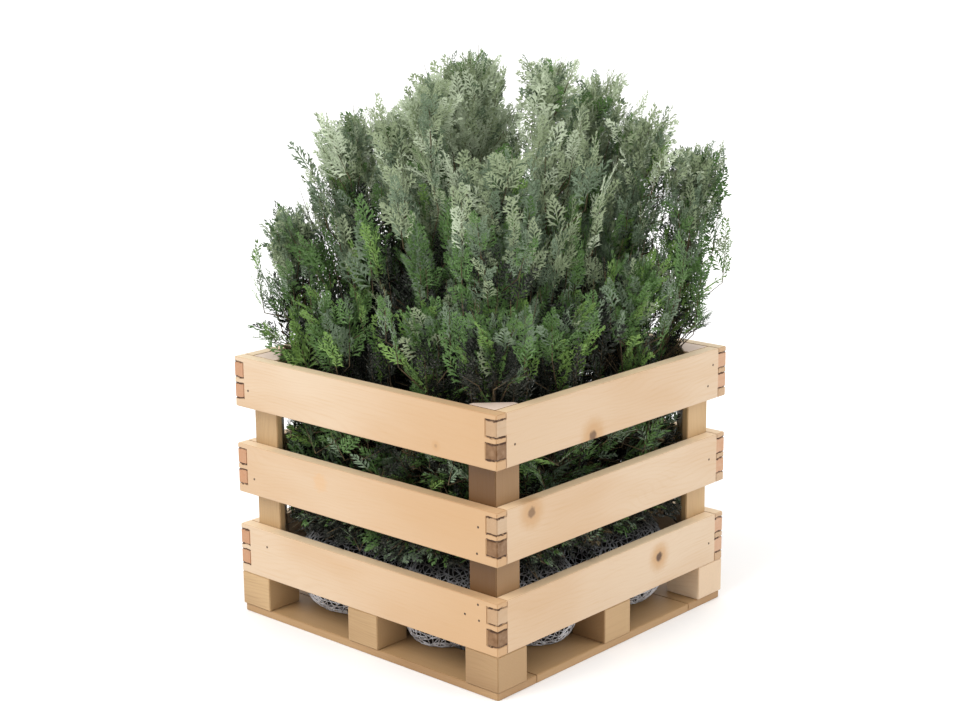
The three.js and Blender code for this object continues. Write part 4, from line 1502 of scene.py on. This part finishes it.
BARK_BROWN = bark_material("bark_brown", plain(140, 98, 70), plain(64, 42, 30), 0.8)
TWIG_BROWN = bark_material("twig_brown", plain(104, 88, 60), plain(60, 50, 36), 0.4)


# The spine inside each mass, its twigs and the midribs of its sprays, as tubes
SPINE_END_SHARE = 0.94
SPINE_RINGS = 14
SPINE_SIDES = 6
SPINE_RADII = (3.4 * MM, 0.9 * MM)
TWIG_SIDES = 4
TWIG_RADII = [1.6 * MM, 1.3 * MM, 0.9 * MM]
MIDRIB_SIDES = 3
MIDRIB_SHARES = [0, 0.3, 0.65]
MIDRIB_RADII = [1.1 * MM, 0.8 * MM, 0.4 * MM]

# The bark's relief: waves round the limb and along it that wander, as shares of its radius
BARK_RINGS = 90
BARK_SIDES = 28
BARK_SINK = 0.07
BARK_RELIEF = 0.035
RIDGES = 7
FINE_RIDGES = 11
FLAKES = 5


def make_limbs():
    """Tapered limbs with long shallow ridges of bark, in place of the trunk and the stems."""
    for name, (points, radii) in LIMBS.items():
        even = np.linspace(0, len(points) - 1, BARK_RINGS)
        steps = np.arange(len(points))
        line = np.stack([np.interp(even, steps, points[:, i]) for i in range(3)], axis=1)
        width = np.interp(even, steps, radii)
        angle = np.arange(BARK_SIDES) * 2 * math.pi / BARK_SIDES
        height = line[:, 2][:, None]
        wander = 0.8 * np.sin(31 * height + 2 * np.sin(17 * height))
        ridges = np.sin(RIDGES * angle + wander)
        fine_ridges = 0.6 * np.sin(FINE_RIDGES * angle - 1.7 * wander + 40 * height)
        flakes = 0.5 * np.sin(FLAKES * angle + 170 * height)
        bulge = BARK_RELIEF * (ridges + fine_ridges + flakes) - BARK_SINK
        label = name + "_bark"
        mesh = mesh_from_arrays(label, *tube_arrays(line, width, BARK_SIDES, bulge), smooth=True)
        add_piece(label, mesh, BARK_BROWN, [name])


def shows(spray):
    """Whether a spray is on the crown's outside: high, beyond the stems, or fairly high and facing out."""
    middle = spray_middle(spray)
    height = middle[2]
    if height < SHOWN_BOTTOM:
        return False
    outward = unit(middle[:2]) @ spray.direction[:2] > SHOWN_OUTWARD
    return height > SHOWN_TOP or widest_reach(middle) > SHOWN_REACH or (height > SHOWN_HEIGHT and outward)


def pick_tone(spray, draw):
    """A tone for the spray, by the layer of the crown that its middle is in."""
    middle = spray_middle(spray)
    height = middle[2]
    wide = widest_reach(middle)
    if spray.width <= SHOOT_WIDTH:
        return "fresh" if height < SAGE_SHOOT_HEIGHT else "sage"
    luck = draw()
    # Painted shade: sprays in the core and the mostly hidden ones take the deep tone
    if (wide < CORE_REACH and height < CORE_TOP) or mostly_hidden(middle):
        return "deep" if luck < CORE_PAINTED_SHADE_SHARE else "green"
    tones = next(tones for bottom, tones in TONE_LAYERS if height > bottom)
    for tone, share in tones.items():
        luck -= share
        if luck <= 0:
            break
    lit = wide > LIT_REACH and height > LIT_HEIGHT
    return "green" if tone == "deep" and lit else tone


def placed_fronds(template, fronds):
    """One frond template set at each root, turned, sized and bent: all the points and the faces."""
    points, faces = template
    roots, headings, across, normals, bends, reaches = (np.concatenate(part) for part in zip(*fronds))
    x, y, z = (points[:, i][None, :, None] for i in range(3))
    place = x * across[:, None] + y * headings[:, None] + z * normals[:, None] + y**2 * bends[:, None]
    place = roots[:, None] + place * reaches[:, None, None]
    shift = np.arange(len(roots))[:, None, None] * len(points)
    return place.reshape(-1, 3), (faces[None] + shift).reshape(-1, 3)


def grow_masses():
    growths = [Growth(index) for index in range(len(MASSES))]
    for growth, mass in zip(growths, MASSES):
        growth.grow_crest()
        growth.grow()
        growth.grow_shoots(SHOOT_COUNTS[mass["kind"]])
    fill_out(growths)
    fill_edges(growths)
    return growths


def twig_tubes(growth):
    """The mass's spine, its twigs, and the midribs of its sprays."""
    shares = [SPINE_END_SHARE * i / (SPINE_RINGS - 1) for i in range(SPINE_RINGS)]
    spine = np.array([axis_at(growth.axis, share) for share in shares])
    yield tube_arrays(spine, lerp(*SPINE_RADII, np.linspace(0, 1, SPINE_RINGS)), SPINE_SIDES)
    for start, end in growth.twigs:
        yield tube_arrays([start, lerp(start, end, 0.5), end], TWIG_RADII, TWIG_SIDES)
    for spray, _ in growth.sprays:
        yield tube_arrays(midrib_at(spray, MIDRIB_SHARES), MIDRIB_RADII, MIDRIB_SIDES)


def sorted_by_look(growths):
    """The fronds of all the sprays, by tone, by how fine they are and by kind of frond."""
    batches = {}
    for growth in growths:
        draw = seeded(TONE_SEED + growth.index)
        for spray, fronds in growth.sprays:
            tone = pick_tone(spray, draw)
            finish = "fine" if shows(spray) and tone != "deep" else "coarse"
            kind = int(draw() * FROND_KINDS)
            mixed = np.array([draw() for _ in fronds[0]]) < MIXED_SHARE
            for shade, members in ((tone, ~mixed), (BESIDE[tone], mixed)):
                batches.setdefault((shade, finish, kind), []).append([part[members] for part in fronds])
    return batches


def make_foliage():
    """All the sprays of all the masses, their fronds joined by tone, and the twigs that carry them."""
    growths = grow_masses()
    twigs = Gathered()
    for growth in growths:
        for tube in twig_tubes(growth):
            twigs.add(*tube)
    pieces = [add_piece("foliage_twigs", twigs.mesh("foliage_twigs", smooth=True), TWIG_BROWN)]
    batches = sorted_by_look(growths)
    for tone in TONES:
        material = leaf_material(tone)
        joins = [Gathered()]
        for (batch_tone, finish, kind), fronds in sorted(batches.items()):
            if batch_tone != tone:
                continue
            points, faces = placed_fronds(FRONDS[finish][kind], fronds)
            if joins[-1].triangles() + len(faces) > MOST_TRIANGLES:
                joins.append(Gathered())
            joins[-1].add(points, faces)
        for part, join in enumerate(joins):
            name = f"foliage_{tone}_{part + 1}"
            pieces.append(add_piece(name, join.mesh(name), material))
    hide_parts(*[mass["name"] for mass in MASSES])


# Root ball: dark compost bound in a grey cord net

LOBE_END = 0.985
LOBE_ROWS = 26
LOBE_FACETS = 44
CROWN_FACETS = 32
ROOT_CROWN_BOTTOM = 140 * MM
BLOCK_CLEARANCE = 2 * MM
COMPOST_VOXEL = 5 * MM
CRUMB_DEPTH = 5 * MM
CRUMB_SIZES = ((70, 1.0), (190, 0.5))


def lobe_profile(radius, top, shares):
    """How far out and how high the lobe's skin is, at each share of the way from its foot to its top."""
    widest = lerp(LOBE_BOTTOM, top, LOBE_WIDEST_SHARE)
    foot = radius * LOBE_FOOT_SHARE
    lower = np.clip(shares * 2, 0, 1) * QUARTER
    upper = np.clip(shares * 2 - 1, 0, 1) * QUARTER
    out = np.where(shares < 0.5, foot + (radius - foot) * np.sin(lower), radius * np.cos(upper))
    below = widest - (widest - LOBE_BOTTOM) * np.cos(lower)
    up = np.where(shares < 0.5, below, widest + (top - widest) * np.sin(upper))
    return out * MM, up * MM


def root_ball_lobes():
    """The lobes and the root crown as closed shapes that run into one another."""
    body = Gathered()
    for x, y, radius, top in ROOT_LOBES:
        out, up = lobe_profile(radius, top, np.linspace(0, LOBE_END, LOBE_ROWS))
        middle = [(x * MM, y * MM, height) for height in up]
        body.add(*closed_tube(middle, out, LOBE_FACETS))
    crown = [(0, 0, ROOT_CROWN_BOTTOM), (0, 0, ROOT_CROWN_TOP - 1 * MM)]
    body.add(*closed_tube(crown, [ROOT_CROWN_FOOT, ROOT_CROWN_RADIUS], CROWN_FACETS))
    return body.mesh("root_ball_lobes")


def blended_skin(lobes, voxel):
    """The lobes blended by voxels into one skin, pressed back from the blocks as the blocks press it."""
    shape = bpy.data.objects.new("lobes", lobes)
    bpy.context.scene.collection.objects.link(shape)
    blend = shape.modifiers.new("one_skin", "REMESH")
    blend.mode = "VOXEL"
    blend.voxel_size = voxel
    bpy.context.view_layer.update()
    skin = bpy.data.meshes.new_from_object(shape.evaluated_get(bpy.context.evaluated_depsgraph_get()))
    bpy.data.objects.remove(shape)
    clear_blocks(skin)
    return skin


def read_skin(skin):
    """The skin's points and outward normals."""
    points = np.zeros(len(skin.vertices) * 3, np.float32)
    normals = np.zeros(len(skin.vertices) * 3, np.float32)
    skin.vertices.foreach_get("co", points)
    skin.vertices.foreach_get("normal", normals)
    return points.reshape(-1, 3).astype(float), normals.reshape(-1, 3).astype(float)


def make_compost(lobes):
    skin = blended_skin(lobes, COMPOST_VOXEL)
    points, normals = read_skin(skin)
    places = [Vector(point) for point in points]
    crumbs = np.array([
        sum(share * noise.noise(place * closeness) for closeness, share in CRUMB_SIZES)
        for place in places
    ])
    sunk = np.maximum(CRUMB_DEPTH * (0.4 + 0.4 * crumbs), 0)
    skin.vertices.foreach_set("co", (points - normals * sunk[:, None]).astype(np.float32).ravel())
    skin.polygons.foreach_set("use_smooth", np.ones(len(skin.polygons), bool))
    material, tree, shader = new_material("compost", 0.95)
    grains = cloud(tree, object_place(tree), 160.0, 5.0, 0.7)
    colour = blend_colour(tree, grains, plain(5, 5, 5), plain(28, 24, 22))
    tree.links.new(colour, shader.inputs["Base Color"])
    add_bump(tree, shader, grains, 1.0, 2 * MM)
    add_piece("root_ball_compost", skin, material, ["root_ball"])


def clear_blocks(mesh):
    """Presses the skin back from the middle blocks, as the blocks press the net in."""
    points, _ = read_skin(mesh)
    half_block = BLOCK_WIDTH / 2 + BLOCK_CLEARANCE
    edge = HALF - BLOCK_WIDTH - BLOCK_CLEARANCE
    for axis in (0, 1):
        other = 1 - axis
        low = points[:, 2] < BOARD_BOTTOMS[0] + BLOCK_CLEARANCE
        pressed = low & (np.abs(points[:, other]) < half_block) & (np.abs(points[:, axis]) > edge)
        inward = np.abs(points[:, axis]) - edge
        sideways = half_block - np.abs(points[:, other])
        into = pressed & (inward < sideways)
        aside = pressed & ~into
        points[into, axis] = np.sign(points[into, axis]) * edge
        points[aside, other] = np.sign(points[aside, other]) * half_block
    mesh.vertices.foreach_set("co", points.astype(np.float32).ravel())
    mesh.update()


NET_SEED = 311
NET_HOLE = 10.5 * MM
NET_JITTER = 3.4 * MM
NET_CORD_RADIUS = 1.15 * MM
NET_CROSSINGS = 0.45
NET_WEAVE = 0.5 * MM

# The net's cords turn darker and browner towards the top of the root ball
DARK_CORD_HEIGHTS = (135 * MM, 175 * MM)
DARK_UPPER_CORD = plain(66, 62, 50)


def make_net(lobes):
    """Cords along the edges of a coarse skin whose points are shifted about, with some more across."""
    skin = blended_skin(lobes, NET_HOLE)
    points, normals = read_skin(skin)
    draw = seeded(NET_SEED)
    shift = np.array([[draw() - 0.5 for _ in range(3)] for _ in points]) * 2 * NET_JITTER
    shift -= normals * (shift * normals).sum(axis=1, keepdims=True)
    points = points + shift + normals * NET_CORD_RADIUS
    ends = [tuple(edge.vertices) for edge in skin.edges]
    for face in skin.polygons:
        if draw() < NET_CROSSINGS:
            turn = int(draw() * 2)
            ends.append((face.vertices[turn], face.vertices[turn + 2]))
    first, second = np.array(ends).T
    start, end = points[first], points[second]
    facing = unit(normals[first] + normals[second])
    weave = np.array([draw() - 0.5 for _ in ends])[:, None] * 2 * NET_WEAVE
    across = unit(np.cross(end - start, facing))
    corners = []
    for end_points in (start, end):
        for turn in range(3):
            angle = QUARTER + turn * 2 * math.pi / 3
            out = NET_CORD_RADIUS * (math.sin(angle) * facing + math.cos(angle) * across)
            corners.append(end_points + out + facing * weave)
    cords = np.stack(corners, axis=1).reshape(-1, 3)
    sides = np.array([[0, 1, 4, 3], [1, 2, 5, 4], [2, 0, 3, 5]])
    faces = (sides[None] + np.arange(len(ends))[:, None, None] * 6).reshape(-1, 4)
    net = mesh_from_arrays("root_ball_net", cords, faces, smooth=True)

    material, tree, shader = new_material("net_cord", 0.8)
    place = object_place(tree)
    soil = cloud(tree, place, 45.0, 3.0)
    colour = blend_colour(tree, between(tree, soil, 0.4, 0.7), plain(228, 230, 236), plain(164, 162, 164))
    height = split(tree, place)["Z"]
    colour = blend_colour(tree, between(tree, height, *DARK_CORD_HEIGHTS), colour, DARK_UPPER_CORD)
    tree.links.new(colour, shader.inputs["Base Color"])
    add_bump(tree, shader, cloud(tree, place, 900.0), 0.4, 0.3 * MM)
    add_piece("root_ball_net", net, material)


# Nail heads: how far along each side, seen from outside, and how high; the photo shows the first two sides
NAIL_SIDES = 10
NAIL_RADIUS = 2.2 * MM
NAIL_PROUD = 0.15 * MM
NAIL_DOME = 0.1 * MM
NAIL_DEPTH = 1 * MM
NAILS = {
    "front": [
        (-0.289, 0.439), (0.283, 0.301), (0.28, 0.254), (-0.252, 0.143),
        (0.281, 0.164), (0.251, 0.14), (0.283, 0.136), (-0.281, 0.27),
    ],
    "right": [(0.283, 0.471), (0.268, 0.433), (-0.279, 0.442), (0.276, 0.289), (0.281, 0.121)],
    "back": [(-0.28, 0.46), (0.275, 0.437), (0.283, 0.28), (-0.27, 0.262), (-0.283, 0.15), (0.268, 0.112)],
    "left": [(-0.284, 0.448), (0.279, 0.43), (-0.27, 0.301), (0.283, 0.268), (0.276, 0.149), (-0.28, 0.117)],
}


def make_nails():
    nails = Gathered()
    angles = np.arange(NAIL_SIDES) * 2 * math.pi / NAIL_SIDES
    here = np.arange(NAIL_SIDES)
    after = (here + 1) % NAIL_SIDES
    faces = np.concatenate([
        np.stack([here, here + NAIL_SIDES, after + NAIL_SIDES], axis=1),
        np.stack([here, after + NAIL_SIDES, after], axis=1),
        np.stack([here, after, np.full(NAIL_SIDES, 2 * NAIL_SIDES)], axis=1),
    ])
    front = -HALF - NAIL_PROUD
    for turn, side in enumerate(SIDES):
        for out, height in NAILS[side]:
            ring = np.stack([
                out + NAIL_RADIUS * np.cos(angles),
                np.full(NAIL_SIDES, front),
                height + NAIL_RADIUS * np.sin(angles),
            ], axis=1)
            back = ring + [0, NAIL_DEPTH, 0]
            middle = [[out, front - NAIL_DOME, height]]
            nails.add(np.concatenate([ring, back, middle]) @ SPINS[turn].T, faces)
    material, tree, shader = new_material("nail_steel", 0.5)
    rust = cloud(tree, object_place(tree), 300.0)
    colour = blend_colour(tree, rust, plain(96, 80, 66), plain(60, 46, 38))
    tree.links.new(colour, shader.inputs["Base Color"])
    shader.inputs["Metallic"].default_value = 0.6
    add_piece("nail_heads", nails.mesh("nail_heads"), material)


make_limbs()
ball = root_ball_lobes()
make_compost(ball)
make_net(ball)
make_nails()
make_foliage()
